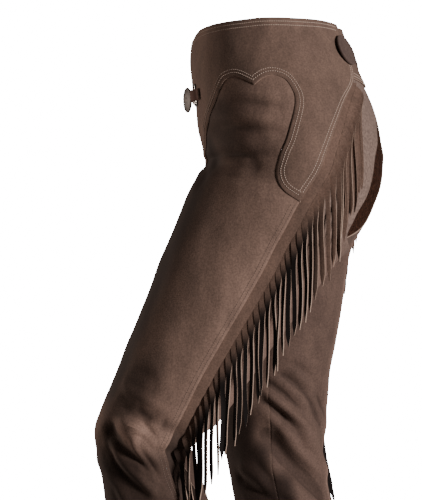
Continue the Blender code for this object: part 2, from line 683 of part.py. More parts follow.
def frame_at(leg, down, turn, lift):
    """A frame on the shell: Z is outward, X runs across and the origin is moved out by lift."""
    at = [np.array(float(v)) for v in (down, turn, lift)]
    origin = Vector(shell(leg, *at)) * MM
    out = Vector(outward(leg, at[0], at[1]))
    up = Vector((0, 0, 1))
    across = up.cross(out).normalized()
    above = out.cross(across)
    frame = Matrix((across, above, out)).transposed().to_4x4()
    frame.translation = origin
    return frame


def add_disc(name, leg, group):
    """A leather-covered round at the top of the outer seam."""
    mesh = bpy.data.meshes.new(name)
    work = bmesh.new()
    lifted = Matrix.Translation((0, 0, DISC_THICK / 2 * MM))
    bmesh.ops.create_cone(work, cap_ends=True, segments=ROUND_SIDES, radius1=DISC_RADIUS * MM,
                          radius2=DISC_RADIUS * MM, depth=DISC_THICK * MM, matrix=lifted)
    work.to_mesh(mesh)
    work.free()
    piece = add_object(name, mesh, "disc_leather", group)
    piece.matrix_world = frame_at(leg, DISC_DOWN, DISC_ROUND, DISC_LIFT)
    edge = piece.modifiers.new("Rounded edge", "BEVEL")
    edge.width = DISC_EDGE * MM
    edge.segments = 2
    return piece


def front_place(left, right, x, down):
    """The leg and degrees round of a place at x on the garment's front."""
    leg = left if x >= 0 else right
    share = (abs(x) - column(leg, "centre_x", down)) / column(leg, "half_width", down)
    return leg, float(np.degrees(np.arccos(share)))


def front_point(left, right, x, down, lift):
    leg, turn = front_place(left, right, x, down)
    return shell(leg, np.array(down), np.array(turn), np.array(float(lift)))


def add_tie(left, right, group):
    """The strap across the front opening, over the rings and down to the yokes at its ends."""
    rows = (TIE_DOWN - TIE_TALL / 2, TIE_DOWN + TIE_TALL / 2)
    points = [front_point(left, right, c.x, down, c.lift) for down in rows for c in TIE]
    count = len(TIE)
    faces = [[j, j + 1, count + j + 1, count + j] for j in range(count - 1)]
    outs = np.array([(0.0, -1.0, 0.0)] * len(points))
    faces = facing_out(np.array(points), faces, outs)
    return add_wall("front_tie", np.array(points), faces, TIE_THICK, "fringe_leather", group)


def add_ring(name, left, right, x, group):
    """A wire loop that lies on the yoke, upright, under the tie."""
    corner_turns = np.linspace(0, 90, 4)
    half_wide = RING_WIDE / 2 - RING_CORNER
    half_tall = RING_TALL / 2 - RING_CORNER
    route = []
    for quarter, (sx, sy) in enumerate(((1, 1), (-1, 1), (-1, -1), (1, -1))):
        for turn in np.radians(corner_turns + 90 * quarter):
            route.append((sx * half_wide + RING_CORNER * np.cos(turn),
                          sy * half_tall + RING_CORNER * np.sin(turn)))
    points = [front_point(left, right, x + u, TIE_DOWN - v, RING_LIFT) for u, v in route]
    curve = bpy.data.curves.new(name, "CURVE")
    curve.dimensions = "3D"
    curve.bevel_depth = RING_WIRE * MM
    curve.bevel_resolution = 2
    spline = curve.splines.new("POLY")
    spline.points.add(len(points) - 1)
    for slot, point in zip(spline.points, points):
        slot.co = (*(point * MM), 1.0)
    spline.use_cyclic_u = True
    return add_object(name, curve, "nickel", group)


def add_concho(left, right, group):
    """A turned round on a short stem, in front of the tie, turned and tilted a little to the left."""
    lift = TIE[len(TIE) // 2].lift + TIE_THICK + CONCHO_GAP
    leg, turn = front_place(left, right, 0.0, TIE_DOWN)
    frame = frame_at(leg, TIE_DOWN, turn, lift)
    frame.translation.x = 0.0
    mesh = bpy.data.meshes.new("front_concho")
    points = [(p.radius * MM, 0.0, p.height * MM) for p in CONCHO_PROFILE]
    mesh.from_pydata(points, [(k, k + 1) for k in range(len(points) - 1)], [])
    piece = add_object("front_concho", mesh, "dark_metal", group)
    turned = piece.modifiers.new("Turned", "SCREW")
    turned.steps = ROUND_SIDES
    turned.render_steps = ROUND_SIDES
    turned.use_merge_vertices = True
    turned.merge_threshold = 0.00005
    tilted = Matrix.Rotation(np.radians(CONCHO_TILT), 4, "X")
    turned_left = Matrix.Rotation(np.radians(CONCHO_TURN), 4, "Y")
    piece.matrix_world = frame @ turned_left @ tilted
    return piece


def build():
    clear_scene()
    group = new_collection(NAME)
    left = make_leg(1, TRUNK + LEFT_LEG, LEFT_FOLDS, LEFT_RUNS, LEFT_LEAN, LEFT_STAND_OUT)
    right = make_leg(-1, TRUNK + RIGHT_LEG, RIGHT_FOLDS, RIGHT_RUNS, RIGHT_LEAN, RIGHT_STAND_OUT)
    for leg, word in ((left, "left"), (right, "right")):
        front = front_grid(leg)
        back = back_grid(leg)
        add_panel("leg_front_" + word, front, PANEL, "leg_leather", group)
        add_panel("leg_back_" + word, back, PANEL, "seat_leather", group)
        add_yoke("yoke_" + word, front, group)
        add_fringe("fringe_" + word, back, group)
        add_disc("back_disc_" + word, leg, group)
        add_ring("front_ring_" + word, left, right, RING_X * leg.side, group)
    add_back_yoke(left, right, group)
    add_tie(left, right, group)
    add_concho(left, right, group)


build()
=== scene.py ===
"""Looks of the leather chaps: thin suede shells with creases, cut fringe, stitches and metal.

The tables are in millimetres and degrees, and the meshes in metres. +Z is up, the front faces -Y and
the left leg is at +X. Places on a leg are given as down, the distance along the leg's centre line from
the waist, and round, the angle from the outer side (0) to the front (90), the inseam (180) and the
seat (-90).
"""

from collections import namedtuple

import bmesh
import bpy
import numpy as np
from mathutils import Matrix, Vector


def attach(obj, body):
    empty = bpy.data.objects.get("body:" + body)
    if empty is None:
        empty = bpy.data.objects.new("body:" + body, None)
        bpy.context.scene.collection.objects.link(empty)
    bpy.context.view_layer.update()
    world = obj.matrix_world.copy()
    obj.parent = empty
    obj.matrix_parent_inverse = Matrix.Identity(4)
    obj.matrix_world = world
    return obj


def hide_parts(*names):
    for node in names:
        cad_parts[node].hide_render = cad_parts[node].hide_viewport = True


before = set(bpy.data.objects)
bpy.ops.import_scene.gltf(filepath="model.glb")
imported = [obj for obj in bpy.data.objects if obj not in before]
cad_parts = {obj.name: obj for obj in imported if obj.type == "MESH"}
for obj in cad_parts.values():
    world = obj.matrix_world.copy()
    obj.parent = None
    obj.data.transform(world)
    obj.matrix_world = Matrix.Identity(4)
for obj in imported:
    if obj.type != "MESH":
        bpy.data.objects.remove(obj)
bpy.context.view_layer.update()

MM = 0.001

# Leather and the gaps between its layers, in mm
PANEL = 1.6
FRINGE_LEATHER = 1.3
GAP = 0.4
LAYER_1 = PANEL + GAP
LAYER_2 = LAYER_1 + PANEL + 2 * GAP
YOKE_RISE = PANEL + GAP

# Widths across the outer seam, in mm behind the front panel's visible edge
LAP = 10.0
STRIP_INNER = 9.0
STRIP_OUTER = -18.0
LAP_FLAT = 8.0
LAP_RAMP = 85.0
SEAM_MIDDLE = 3.5
SEAM_STIFF = 7.5
SEAM_FREE = 20.0
SEAM_DAMPING = 0.6
SEAM_DAMPING_WIDTH = 26.0
INSEAM_OVER_DEG = 0.5
INSEAM_UNDER = 0.08

# Mesh of the panels, in mm between rows and columns
FINE = 3.2

Section = namedtuple("Section", "name front_y front_z back_y back_z centre_x half_width "
                                "front_edge back_edge seam")
TRUNK = [Section(*row) for row in (
    ("above_waist", -95, 16, 90, 28, 0, 132, 88.8, 86, -66),
    ("waist", -97, -8, 98, 4, 0, 136, 88.8, 84, -66),
    ("high_hip", -99, -34, 110, -28, 1, 145, 89.2, 83, -65.5),
    ("yoke_hem", -96.5, -67, 127, -66, 5, 153, 90.7, 84, -60.5),
    ("seat_top", -91, -98, 142, -100, 11, 158, 92, 85, -42.5),
)]
LEFT_LEG = [Section(*row) for row in (
    ("belly", -86, -130, 150, -134, 20, 156, 92, 78, -31.9),
    ("hip", -79, -156, 155, -166, 31, 147, 92, 66.5, -24),
    ("groin", -75, -174, 155, -193, 44, 135, 92.5, 63, -19.2),
    ("crease", -83, -188, 150, -221, 57, 122, 96, 61, -15.5),
    ("thigh_top", -91, -203, 138, -252, 70, 110, 103.5, 57.5, -13.5),
    ("under_seat", -98, -220, 121, -280, 82, 98, 119, 66, -13.8),
    ("crotch", -105, -240, 99.5, -298.5, 92, 88, 146, 122, -16.3),
    ("thigh_1", -118, -271, 75.5, -331, 94, 87, 180, 180, -18.3),
    ("thigh_2", -135, -313, 45, -371, 95, 86, 180, 180, -19.8),
    ("thigh_3", -153, -360, 8, -421, 97, 82, 180, 180, -20.5),
    ("thigh_4", -174, -413, -29.5, -473.5, 98, 77, 180, 180, -21.8),
    ("thigh_5", -195, -464, -61, -515, 99, 72, 180, 180, -26),
    ("above_knee", -209, -498, -78, -535, 100, 68, 180, 180, -29),
    ("knee", -216, -526, -90, -544, 100, 65, 180, 180, -31),
    ("below_knee", -212, -557, -91, -553, 100, 63, 180, 180, -33),
    ("shin_1", -206, -588, -86, -570, 101, 62, 180, 180, -34),
    ("shin_2", -200, -627, -74, -603, 101, 63, 180, 180, -35.5),
    ("calf", -189, -679, -57, -651, 102, 64, 180, 180, -37),
    ("ankle_1", -174, -750, -41, -722, 103, 64, 180, 180, -38),
    ("ankle_2", -160, -821, -24, -792, 104, 66, 180, 180, -38),
    ("boot", -145, -892, -1, -861, 105, 70, 180, 180, -38),
    ("hem", -131, -961, 23, -925, 106, 75, 180, 180, -38),
)]
RIGHT_LEG = [Section(*row) for row in (
    ("belly", -86, -130, 150, -134, 20, 156, 92, 87, -32),
    ("hip", -79, -156, 155, -166, 31, 147, 92, 81, -25),
    ("groin", -82, -175, 154, -185, 44, 135, 92.5, 78, -20.5),
    ("crease", -83, -200, 150, -206, 57, 122, 96, 78, -20),
    ("thigh_top", -84, -226, 140, -230, 70, 110, 103.5, 81, -21),
    ("under_seat", -84, -253, 126, -255, 82, 98, 119, 95, -22),
    ("crotch", -84, -282, 112, -277, 92, 88, 146, 130, -23),
    ("thigh_1", -82, -319, 103, -310, 94, 87, 180, 180, -24),
    ("thigh_2", -81, -369, 96, -363, 95, 86, 180, 180, -24),
    ("thigh_3", -80, -417, 87, -416, 97, 82, 180, 180, -24),
    ("thigh_4", -77, -462, 78, -463, 98, 77, 180, 180, -25),
    ("thigh_5", -75, -500, 75, -504, 99, 72, 180, 180, -27),
    ("above_knee", -70, -528, 74, -533, 100, 68, 180, 180, -29),
    ("knee", -68, -551, 70, -556, 100, 65, 180, 180, -31),
    ("below_knee", -63, -577, 68, -576, 100, 63, 180, 180, -33),
    ("shin_1", -58, -605, 73, -603, 101, 62, 180, 180, -35),
    ("shin_2", -52, -638, 80, -635, 101, 63, 180, 180, -36),
    ("calf", -44, -687, 89, -682, 102, 64, 180, 180, -37),
    ("ankle_1", -33, -757, 102, -751, 103, 64, 180, 180, -38),
    ("ankle_2", -22, -829, 116, -820, 104, 66, 180, 180, -38),
    ("boot", -10, -902, 134, -890, 105, 70, 180, 180, -38),
    ("hem", -1, -970, 152, -955, 106, 75, 180, 180, -38),
)]

# The waist edge: how far it rises (+) above the waist section, by degrees round
Rise = namedtuple("Rise", "round rise")
WAIST_EDGE = [Rise(*row) for row in (
    (-110, 0), (-75, 0), (-60, 2.5), (-40, 6.4), (-20, 8.4), (0, 9.8),
    (36, 9.5), (55, 8), (72, -2), (92, -6), (110, -6),
)]
RISE_FADE = 60.0

# Large folds, as on the solids: a soft ridge (+) or trough (-) from one place to another on a leg
Fold = namedtuple("Fold", "down_1 round_1 down_2 round_2 width height")
LEFT_FOLDS = [Fold(*row) for row in (
    (550, 30, 549, -20, 14, -4.5),
    (565, 22, 581, -44, 12, 4.5),
    (573, 2, 578, -14, 10, -3.5),
    (578, 40, 634, -28, 11, -6),
    (568, 12, 640, -52, 12, 5),
    (599, 48, 662, 0, 12, -5),
    (600, -40, 672, -66, 9, -4),
    (586, 110, 600, 165, 13, -5),
    (612, 100, 640, 150, 12, 5),
    (556, -80, 560, -150, 12, -6),
    (585, -70, 590, -160, 11, -5),
    (133, 54, 144, 18, 13, -2.2),
    (190, 56, 190, 22, 12, -2.6),
)]
RIGHT_FOLDS = [Fold(*row) for row in (
    (462, 196, 519, 262, 11, -3.5),
    (475, 182, 533, 248, 10, -4.5),
    (501, 172, 536, 214, 9, -4),
    (530, 208, 600, 262, 14, 6.5),
    (545, 174, 630, 240, 13, -7),
    (594, 146, 640, 208, 12, 5.5),
    (610, 134, 636, 172, 10, -5),
    (540, -60, 556, 10, 12, -5),
    (580, -50, 600, 40, 12, -5),
    (520, -40, 530, 30, 11, 4),
    (133, 54, 144, 18, 13, -2.2),
    (190, 56, 190, 22, 12, -2.6),
)]

# Fine creases between the large folds: bend is how far the line bows sideways at its middle, in mm
Crease = namedtuple("Crease", "down_1 round_1 down_2 round_2 bend width height")
LEFT_CREASES = [Crease(*row) for row in (
    (104, 42, 108, -2, 4, 7, -2.6),
    (119, 48, 124, 6, -4, 7, 1.6),
    (136, 54, 141, 0, 5, 8, -2.6),
    (165, 62, 167, 6, -4, 8, -3.0),
    (184, 84, 176, 20, 4, 6, -3.0),
    (562, 26, 586, -26, 6, 4, 4.6),
    (569, 2, 571, -14, 0, 7, -5.0),
    (574, 6, 630, -20, -3, 4, 4.4),
    (574, 50, 634, -33, 5, 9, -5.0),
    (604, 36, 661, -16, 4, 6, 4.0),
    (598, 50, 656, -4, 5, 9, -4.6),
    (542, -12, 578, -62, -3, 6, -4.0),
    (591, -32, 667, -38, -3, 4, -3.4),
    (580, -41, 667, -60, 3, 4, -3.2),
    (600, -36, 690, -50, 4, 4, 2.8),
    (540, 20, 558, -24, -4, 6, -2.2),
    (176, 60, 180, 26, -4, 7, 1.2),
    (206, 66, 214, 20, 5, 8, -1.2),
    (222, 40, 228, 2, 4, 9, 0.8),
    (182, 84, 226, 56, 6, 9, -1.6),
    (200, 88, 250, 64, 6, 9, 1.4),
    (60, 78, 74, 60, 3, 6, -0.9),
    (30, 60, 36, 20, 5, 10, -0.7),
    (40, -20, 52, -50, 4, 8, -0.8),
    (500, 40, 512, 8, 6, 8, -1.2),
    (520, 50, 536, 0, -6, 7, 1.6),
    (538, 44, 542, -8, 5, 5, -1.8),
    (556, 36, 560, 4, -4, 4, 1.4),
    (560, 20, 572, -20, 4, 4, -1.9),
    (566, -10, 590, -34, 4, 4, 1.5),
    (584, 30, 622, -18, 6, 5, 2.0),
    (592, 52, 640, 10, -6, 5, 1.8),
    (606, 30, 650, -16, 6, 4, -1.6),
    (622, 52, 690, 14, 7, 6, 1.7),
    (640, 44, 700, 4, -7, 6, -1.8),
    (618, -20, 672, -48, 5, 5, 1.5),
    (652, -8, 716, -40, 6, 6, -1.6),
    (676, 60, 742, 24, 8, 8, 1.5),
    (712, 30, 780, -6, -8, 8, -1.6),
    (770, 70, 812, 10, 8, 9, 1.4),
    (836, 40, 868, -20, 7, 9, -1.5),
    (872, 80, 910, 20, -7, 10, 1.4),
    (915, 20, 935, -30, 6, 10, -1.3),
    (560, 80, 588, 130, 5, 6, -1.6),
    (574, 92, 606, 146, -5, 6, 1.5),
    (640, 110, 676, 158, 6, 7, -1.5),
    (720, 100, 760, 150, 6, 9, 1.4),
    (800, 96, 850, 150, -7, 9, -1.4),
    (568, -96, 576, -150, 4, 5, 1.6),
    (600, -100, 612, -160, 5, 6, 1.3),
    (640, -90, 660, -150, 6, 8, -1.3),
    (730, -96, 770, -150, 7, 9, 1.3),
    (300, 130, 340, 172, 6, 9, -1.4),
    (330, -150, 356, -110, 6, 9, -1.3),
)]
RIGHT_CREASES = [Crease(*row) for row in (
    (470, 172, 540, 232, -5, 6, -3.4),
    (456, 184, 524, 244, -5, 6, -3.4),
    (444, 198, 506, 252, -5, 6, -3.2),
    (478, 170, 550, 226, -5, 6, 2.2),
    (496, 172, 560, 220, -4, 6, -2.8),
    (548, 174, 646, 248, 6, 9, -6.0),
    (534, 190, 610, 254, 6, 7, 4.4),
    (600, 168, 690, 236, 6, 8, -4.6),
    (112, 44, 118, 8, -4, 7, 1.0),
    (158, 58, 166, 16, 4, 6, -1.1),
    (206, 66, 214, 20, 5, 8, -1.2),
    (30, 60, 36, 20, 5, 10, -0.7),
    (40, -20, 52, -50, 4, 8, -0.8),
    (452, 200, 500, 258, 5, 6, 1.2),
    (470, 206, 520, 262, -5, 5, -1.2),
    (484, 176, 540, 236, 5, 5, 1.5),
    (516, 176, 560, 226, 5, 5, 1.6),
    (524, 190, 578, 250, 6, 6, -1.8),
    (556, 180, 616, 232, 6, 6, 1.9),
    (560, 214, 622, 262, -6, 7, -1.8),
    (580, 160, 640, 214, 7, 6, -1.7),
    (606, 176, 660, 236, 7, 8, 1.8),
    (630, 130, 672, 186, 7, 7, 1.7),
    (650, 150, 700, 214, 8, 8, -1.7),
    (700, 150, 744, 220, 8, 9, 1.4),
    (760, 150, 800, 226, -8, 10, -1.5),
    (820, 140, 862, 220, 8, 10, 1.4),
    (880, 150, 916, 230, -8, 11, -1.3),
    (420, 186, 452, 232, 6, 9, 1.1),
    (372, 176, 396, 214, 6, 10, -1.0),
    (528, -50, 540, 20, 5, 6, 1.6),
    (560, -40, 576, 40, 5, 6, -1.6),
    (600, -30, 640, 50, 7, 8, 1.5),
    (690, -10, 730, 60, 8, 9, -1.4),
    (800, 0, 850, 70, 8, 10, 1.3),
    (300, 130, 340, 172, 6, 9, -1.4),
    (320, -160, 350, -110, 6, 9, -1.3),
)]

# Painted shade in the leather's colour: areas from one place to another, with edges this soft, and how dark
Shade = namedtuple("Shade", "down_1 down_2 round_1 round_2 amount")
SHADE_SOFT_MM = 24.0
SHADE_SOFT_DEG = 15.0
# How dark the shade painted in the troughs of the folds is
TROUGH_PAINTED_SHADE = 0.75
LEFT_PAINTED_SHADES = [Shade(*row) for row in (
    (130, 560, 46, 150, 0.95),
    (-90, 200, 60, 150, 0.9),
    (86, 182, 26, 150, 0.75),
    (480, 570, 10, 150, 0.6),
    (592, 1100, -8, 160, 0.9),
    (592, 1100, -110, 160, 0.72),
    (240, 1100, 135, 240, 0.4),
)]
RIGHT_PAINTED_SHADES = [Shade(*row) for row in (
    (130, 520, 46, 150, 0.95),
    (-90, 200, 60, 150, 0.9),
    (86, 182, 26, 150, 0.75),
    (120, 1100, 120, 262, 0.52),
    (500, 1100, 40, 168, 0.95),
    (548, 1100, 40, 184, 0.95),
    (590, 1100, 40, 206, 0.95),
    (640, 1100, 40, 212, 0.8),
)]

# Soft unevenness of the whole leather
UNEVEN_MM = 0.75
UNEVEN_WAVES = (34.0, 120.0)
UNEVEN_COUNT = 26

# The yoke's lower edge, from its front end to the cusp and from the cusp to the outer seam
EdgePoint = namedtuple("EdgePoint", "down round")
YOKE_FRONT_ARCH = [EdgePoint(*row) for row in (
    (198, 92.4), (172, 72.6), (150, 63.7), (128, 56.7), (108, 47.9), (87, 38.6),
    (73.5, 32.9), (68.2, 28), (67.5, 21.8), (73, 16.5), (80.2, 11.7),
)]
YOKE_SIDE_ARCH = [EdgePoint(*row) for row in (
    (80.2, 11.7), (72.5, 6), (68.2, 1.5), (67.3, -3.3), (71, -7.7), (77, -10), (91, -11.5),
    (106, -10.4), (126, -6.8), (150, -1.5), (172, 4.2), (190, 6.4), (206, 3.3), (218, -3), (227, -14.2),
)]

# Where a line across the yoke from each place on its lower edge, by the place's number, meets the
# front edge (numbers up to 4), the waist edge (to 16) or the outer seam
Rib = namedtuple("Rib", "number down round")
YOKE_RIBS = [Rib(*row) for row in (
    (0, 198, 92), (2, 120, 92), (4, 0, 91), (7, 0, 46), (10, 0, 12), (13, 0, -26),
    (16, 0, -65), (18, 96, -43), (20, 150, -26), (22, 196, -17), (24, 227, -14.2),
)]
FRONT_CORNER = 4
SEAM_CORNER = 16
YOKE_EDGE_PRESSED = 0.9
YOKE_STEPS = 12
YOKE_ROWS = 30

# The back yoke's lower edge, in mm down, at the outer seams and at the centre of the back
BACK_YOKE_SIDE_DOWN = 65.0
BACK_YOKE_BACK_DOWN = 72.0
BACK_PANEL_TOP = 44.0

# The coarser, paler leather of the seat fades out between these distances down
SEAT_FROM = 230.0
SEAT_TO = 300.0

# Fringe: runs of the seam with their distance between strands, lean back by mm down at the root,
# and how far strands stand out for each mm they hang, by height
Run = namedtuple("Run", "down_from down_to pitch")
Lean = namedtuple("Lean", "down lean")
StandOut = namedtuple("StandOut", "z slope")
LEFT_RUNS = [Run(76, 540, 14), Run(540, 830, 19)]
RIGHT_RUNS = [Run(76, 540, 16), Run(540, 830, 20)]
LEFT_LEAN = [Lean(*row) for row in (
    (60, 0.05), (90, 0.04), (120, 0.02), (150, 0.0), (190, 0.0), (500, 0.0),
    (560, 0.1), (640, 0.3), (1000, 0.36),
)]
RIGHT_LEAN = [Lean(*row) for row in (
    (60, 0.04), (90, 0.04), (120, 0.03), (180, 0.03), (300, 0.06), (450, 0.06), (510, 0.2),
    (560, 0.22), (640, 0.3), (1000, 0.3),
)]
LEFT_STAND_OUT = [StandOut(*row) for row in ((-1100, 0.15), (-500, 0.15), (-430, 0.04), (0, 0.04))]
RIGHT_STAND_OUT = [StandOut(*row) for row in ((-1100, 0.15), (0, 0.15))]
Twist = namedtuple("Twist", "down degrees")
TWIST = [Twist(*row) for row in ((60, 5), (190, 10), (240, 32), (500, 38), (1000, 40))]
STRIP_TOP = 72.5
STRIP_END = 846.0
STRAND_WIDTH = 5.9
STRAND_LENGTH = 130.0
STRAND_ROOT_SHARE = 0.99
STRAND_STATIONS = 30
ROOT_STEP_BACK = 6.0
ROOT_OVERLAP = 3.0
ROOT_RISE = 0.25
# Painted shade on the fringe: strands rooted past the first pair of distances go near black down their length,
# and the strip and strands past the knee pair darken
STRAND_PAINTED_SHADE_FROM = 190.0
STRAND_PAINTED_SHADE_TO = 250.0
KNEE_PAINTED_SHADE_FROM = 520.0
KNEE_PAINTED_SHADE_TO = 580.0
STRAND_CLEAR = 3.4

# Stitches
STITCH_PITCH = 3.0
STITCH_LONG = 2.2
STITCH_THICK = 1.0

# Back disc, front tie, rings and concho
DISC_RADIUS = 21.5
DISC_DOWN = 33.0
DISC_ROUND = -62.0
DISC_LIFT = LAYER_2 + YOKE_RISE + PANEL + 1.0
TIE_DOWN = 85.0
TIE_TALL = 16.0
TIE_THICK = 2.0
TieColumn = namedtuple("TieColumn", "x lift")
TIE = [TieColumn(*row) for row in (
    (-87, 4.2), (-80, 4.2), (-74, 6.9), (-57, 6.9), (-51, 4.7), (-34, 4.5), (-17, 4.5), (0, 4.5),
    (17, 4.5), (34, 4.5), (51, 4.7), (57, 6.9), (74, 6.9), (80, 4.2), (87, 4.2),
)]
RING_X = 66.0
RING_TALL = 30.0
RING_WIDE = 13.0
RING_CORNER = 4.0
RING_WIRE = 1.15
RING_LIFT = YOKE_RISE + PANEL + GAP + RING_WIRE
CONCHO_RADIUS = 17.0
CONCHO_GAP = 1.1
CONCHO_TILT = -8.0
CONCHO_TURN = 27.0

# View: the camera's distance, aim, and turn round the object
CAMERA_DISTANCE = 2.6
CAMERA_TARGET = (0.0, -0.076, -0.288)
CAMERA_AZIMUTH = 96.0
CAMERA_LENS = 138.7

Leg = namedtuple("Leg", "side word table down folds creases shades runs lean stand_out seed")


def smooth(knots, values, at):
    """Cubic through the knots, with the slope of the neighbouring chords at each."""
    knots = np.asarray(knots, float)
    values = np.asarray(values, float)
    at = np.asarray(at, float)
    slopes = np.gradient(values, knots)
    i = np.clip(np.searchsorted(knots, at) - 1, 0, len(knots) - 2)
    h = knots[i + 1] - knots[i]
    t = (at - knots[i]) / h
    start = (2 * t**3 - 3 * t**2 + 1) * values[i] + (t**3 - 2 * t**2 + t) * h * slopes[i]
    end = (3 * t**2 - 2 * t**3) * values[i + 1] + (t**3 - t**2) * h * slopes[i + 1]
    return start + end


def ease(low, high, at):
    """0 below low, 1 above high, smooth between."""
    t = np.clip((np.asarray(at, float) - low) / (high - low), 0, 1)
    return t * t * (3 - 2 * t)


def unit(vectors):
    return vectors / np.maximum(np.linalg.norm(vectors, axis=-1, keepdims=True), 1e-9)


def make_leg(side, word, sections, folds, creases, shades, runs, lean, stand_out, seed):
    """A leg's table by column name, and the distance down at each of its sections."""
    table = {name: np.array([getattr(s, name) for s in sections]) for name in Section._fields}
    middle_y = (table["front_y"] + table["back_y"]) / 2
    middle_z = (table["front_z"] + table["back_z"]) / 2
    steps = np.hypot(np.diff(middle_y), np.diff(middle_z))
    down = np.concatenate([[0], np.cumsum(steps)])
    return Leg(side, word, table, down - down[1], folds, creases, shades, runs, lean, stand_out, seed)


def column(leg, name, down):
    return smooth(leg.down, leg.table[name], down)


def ring(leg, down, turn):
    """The smooth shell: each section is an ellipse from its front point to its back point."""
    angle = np.radians(turn)
    front_y, front_z, back_y, back_z, centre_x, half_width = (
        column(leg, name, down) for name in Section._fields[1:7])
    x = centre_x + half_width * np.cos(angle)
    y = (front_y + back_y) / 2 + (front_y - back_y) / 2 * np.sin(angle)
    z = (front_z + back_z) / 2 + (front_z - back_z) / 2 * np.sin(angle)
    return np.stack([leg.side * x, y, z], axis=-1)


def outward(leg, down, turn):
    """Unit normal of the smooth shell."""
    along = ring(leg, down + 1.0, turn) - ring(leg, down - 1.0, turn)
    about = ring(leg, down, turn + 0.5) - ring(leg, down, turn - 0.5)
    return unit(leg.side * np.cross(about, along))


def mm_per_degree(leg, down, turn):
    about = ring(leg, down, turn + 0.5) - ring(leg, down, turn - 0.5)
    return np.linalg.norm(about, axis=-1)


def across_seam(leg, down, turn):
    """Degrees round for the folds: the sewn layers are stiff, so that folds run straight over them."""
    scale = mm_per_degree(leg, down, turn)
    middle = column(leg, "seam", down) + SEAM_MIDDLE / scale
    away = (turn - middle) * scale
    spread = (np.abs(away) - SEAM_STIFF) * SEAM_FREE / (SEAM_FREE - SEAM_STIFF)
    moved = np.where(np.abs(away) < SEAM_FREE, np.sign(away) * np.maximum(0, spread), away)
    return middle + moved / scale


def along_and_off(leg, line, down, turn):
    """Share along a line between two places on a leg, its length, and mm to its side."""
    scale = mm_per_degree(leg, (line.down_1 + line.down_2) / 2, (line.round_1 + line.round_2) / 2)
    run = np.array([line.down_2 - line.down_1, (line.round_2 - line.round_1) * scale])
    length = np.hypot(*run)
    away = (turn - line.round_1 + 180) % 360 - 180
    u = ((down - line.down_1) * run[0] + away * scale * run[1]) / length
    v = ((down - line.down_1) * run[1] - away * scale * run[0]) / length
    return u, v, length


def relief(leg, down, turn):
    """Folds and creases. A fold is exp(-(v/width)^2) high across its line, fading past its ends. A
    crease bows by bend at its middle, and a softer lip of the other sign runs beside it."""
    down, turn = np.broadcast_arrays(np.asarray(down, float), np.asarray(turn, float))
    from_seam = (turn - column(leg, "seam", down)) * mm_per_degree(leg, down, turn)
    damping = 1 - SEAM_DAMPING * np.exp(-(from_seam / SEAM_DAMPING_WIDTH) ** 2)
    straight = across_seam(leg, down, turn)
    total = np.zeros(down.shape)
    for fold in leg.folds:
        u, v, length = along_and_off(leg, fold, down, straight)
        past = np.maximum(0, np.maximum(-u, u - length)) / fold.width
        total = total + fold.height * np.exp(-(v / fold.width) ** 2 - past ** 2)
    for crease in leg.creases:
        u, v, length = along_and_off(leg, crease, down, straight)
        v = v - crease.bend * (1 - (2 * u / length - 1) ** 2)
        inner = np.clip(u / length, 0, 1)
        taper = np.sqrt(np.clip(4 * inner * (1 - inner), 0, 1))
        lip = 0.45 * np.exp(-((v - 1.7 * crease.width) / (1.3 * crease.width)) ** 2)
        total = total + crease.height * taper * (np.exp(-(v / crease.width) ** 2) - lip)
    uneven = waves(ring(leg, down, turn), leg.seed, *UNEVEN_WAVES, UNEVEN_COUNT)
    return total * damping + UNEVEN_MM * uneven * (0.5 + 0.5 * damping)


def waves(points, seed, shortest, longest, count):
    """Sum of plane waves in space, with seeded directions, lengths and phases; about -1 to 1."""
    rng = np.random.default_rng(seed)
    directions = unit(rng.normal(size=(count, 3)))
    lengths = np.exp(rng.uniform(np.log(shortest), np.log(longest), count))
    phases = rng.uniform(0, 2 * np.pi, count)
    inside = points @ (directions * (2 * np.pi / lengths)[:, None]).T + phases
    return np.sin(inside).sum(axis=-1) / np.sqrt(2 * count)


def shell(leg, down, turn, lift):
    """A point on the garment: the smooth shell with its folds, moved out by lift."""
    rise = np.interp(turn, [r.round for r in WAIST_EDGE], [r.rise for r in WAIST_EDGE])
    placed = down - rise * np.clip(1 - down / RISE_FADE, 0, 1)
    out = relief(leg, placed, turn) + lift
    return ring(leg, placed, turn) + outward(leg, placed, turn) * out[..., None]


def seam_turn(leg, down, across):
    """Degrees round of a line that runs `across` mm in front (+) of the outer seam."""
    seam = column(leg, "seam", down)
    return seam + across / mm_per_degree(leg, down, seam)


def lap_lift(across):
    """How far the front panel rides up over the strip and the back panel beside the seam."""
    return LAYER_2 * (1 - ease(LAP_FLAT, LAP_RAMP, across))


# Materials

def srgb(rgb):
    """Linear colour from sRGB given from 0 to 255."""
    return tuple(((c / 255 + 0.055) / 1.055) ** 2.4 if c > 10 else c / 255 / 12.92 for c in rgb) + (1.0,)


def new_material(name):
    material = bpy.data.materials.new(name)
    material.use_nodes = True
    nodes = material.node_tree.nodes
    shader = nodes["Principled BSDF"]
    return material, nodes, material.node_tree.links, shader


def noise(nodes, links, scale, detail=3.0, rough=0.5, stretch=None):
    """Noise on the piece's own coordinates, stretched along an axis where asked."""
    coords = nodes.new("ShaderNodeTexCoord")
    texture = nodes.new("ShaderNodeTexNoise")
    texture.inputs["Scale"].default_value = scale
    texture.inputs["Detail"].default_value = detail
    texture.inputs["Roughness"].default_value = rough
    source = coords.outputs["Object"]
    if stretch:
        mapping = nodes.new("ShaderNodeMapping")
        mapping.inputs["Scale"].default_value = stretch
        links.new(source, mapping.inputs["Vector"])
        source = mapping.outputs["Vector"]
    links.new(source, texture.inputs["Vector"])
    return texture.outputs["Fac"]


def ramp(nodes, links, source, low, high):
    """0 to 1 as the source goes from low to high."""
    node = nodes.new("ShaderNodeMapRange")
    node.inputs["From Min"].default_value = low
    node.inputs["From Max"].default_value = high
    links.new(source, node.inputs["Value"])
    return node.outputs["Result"]


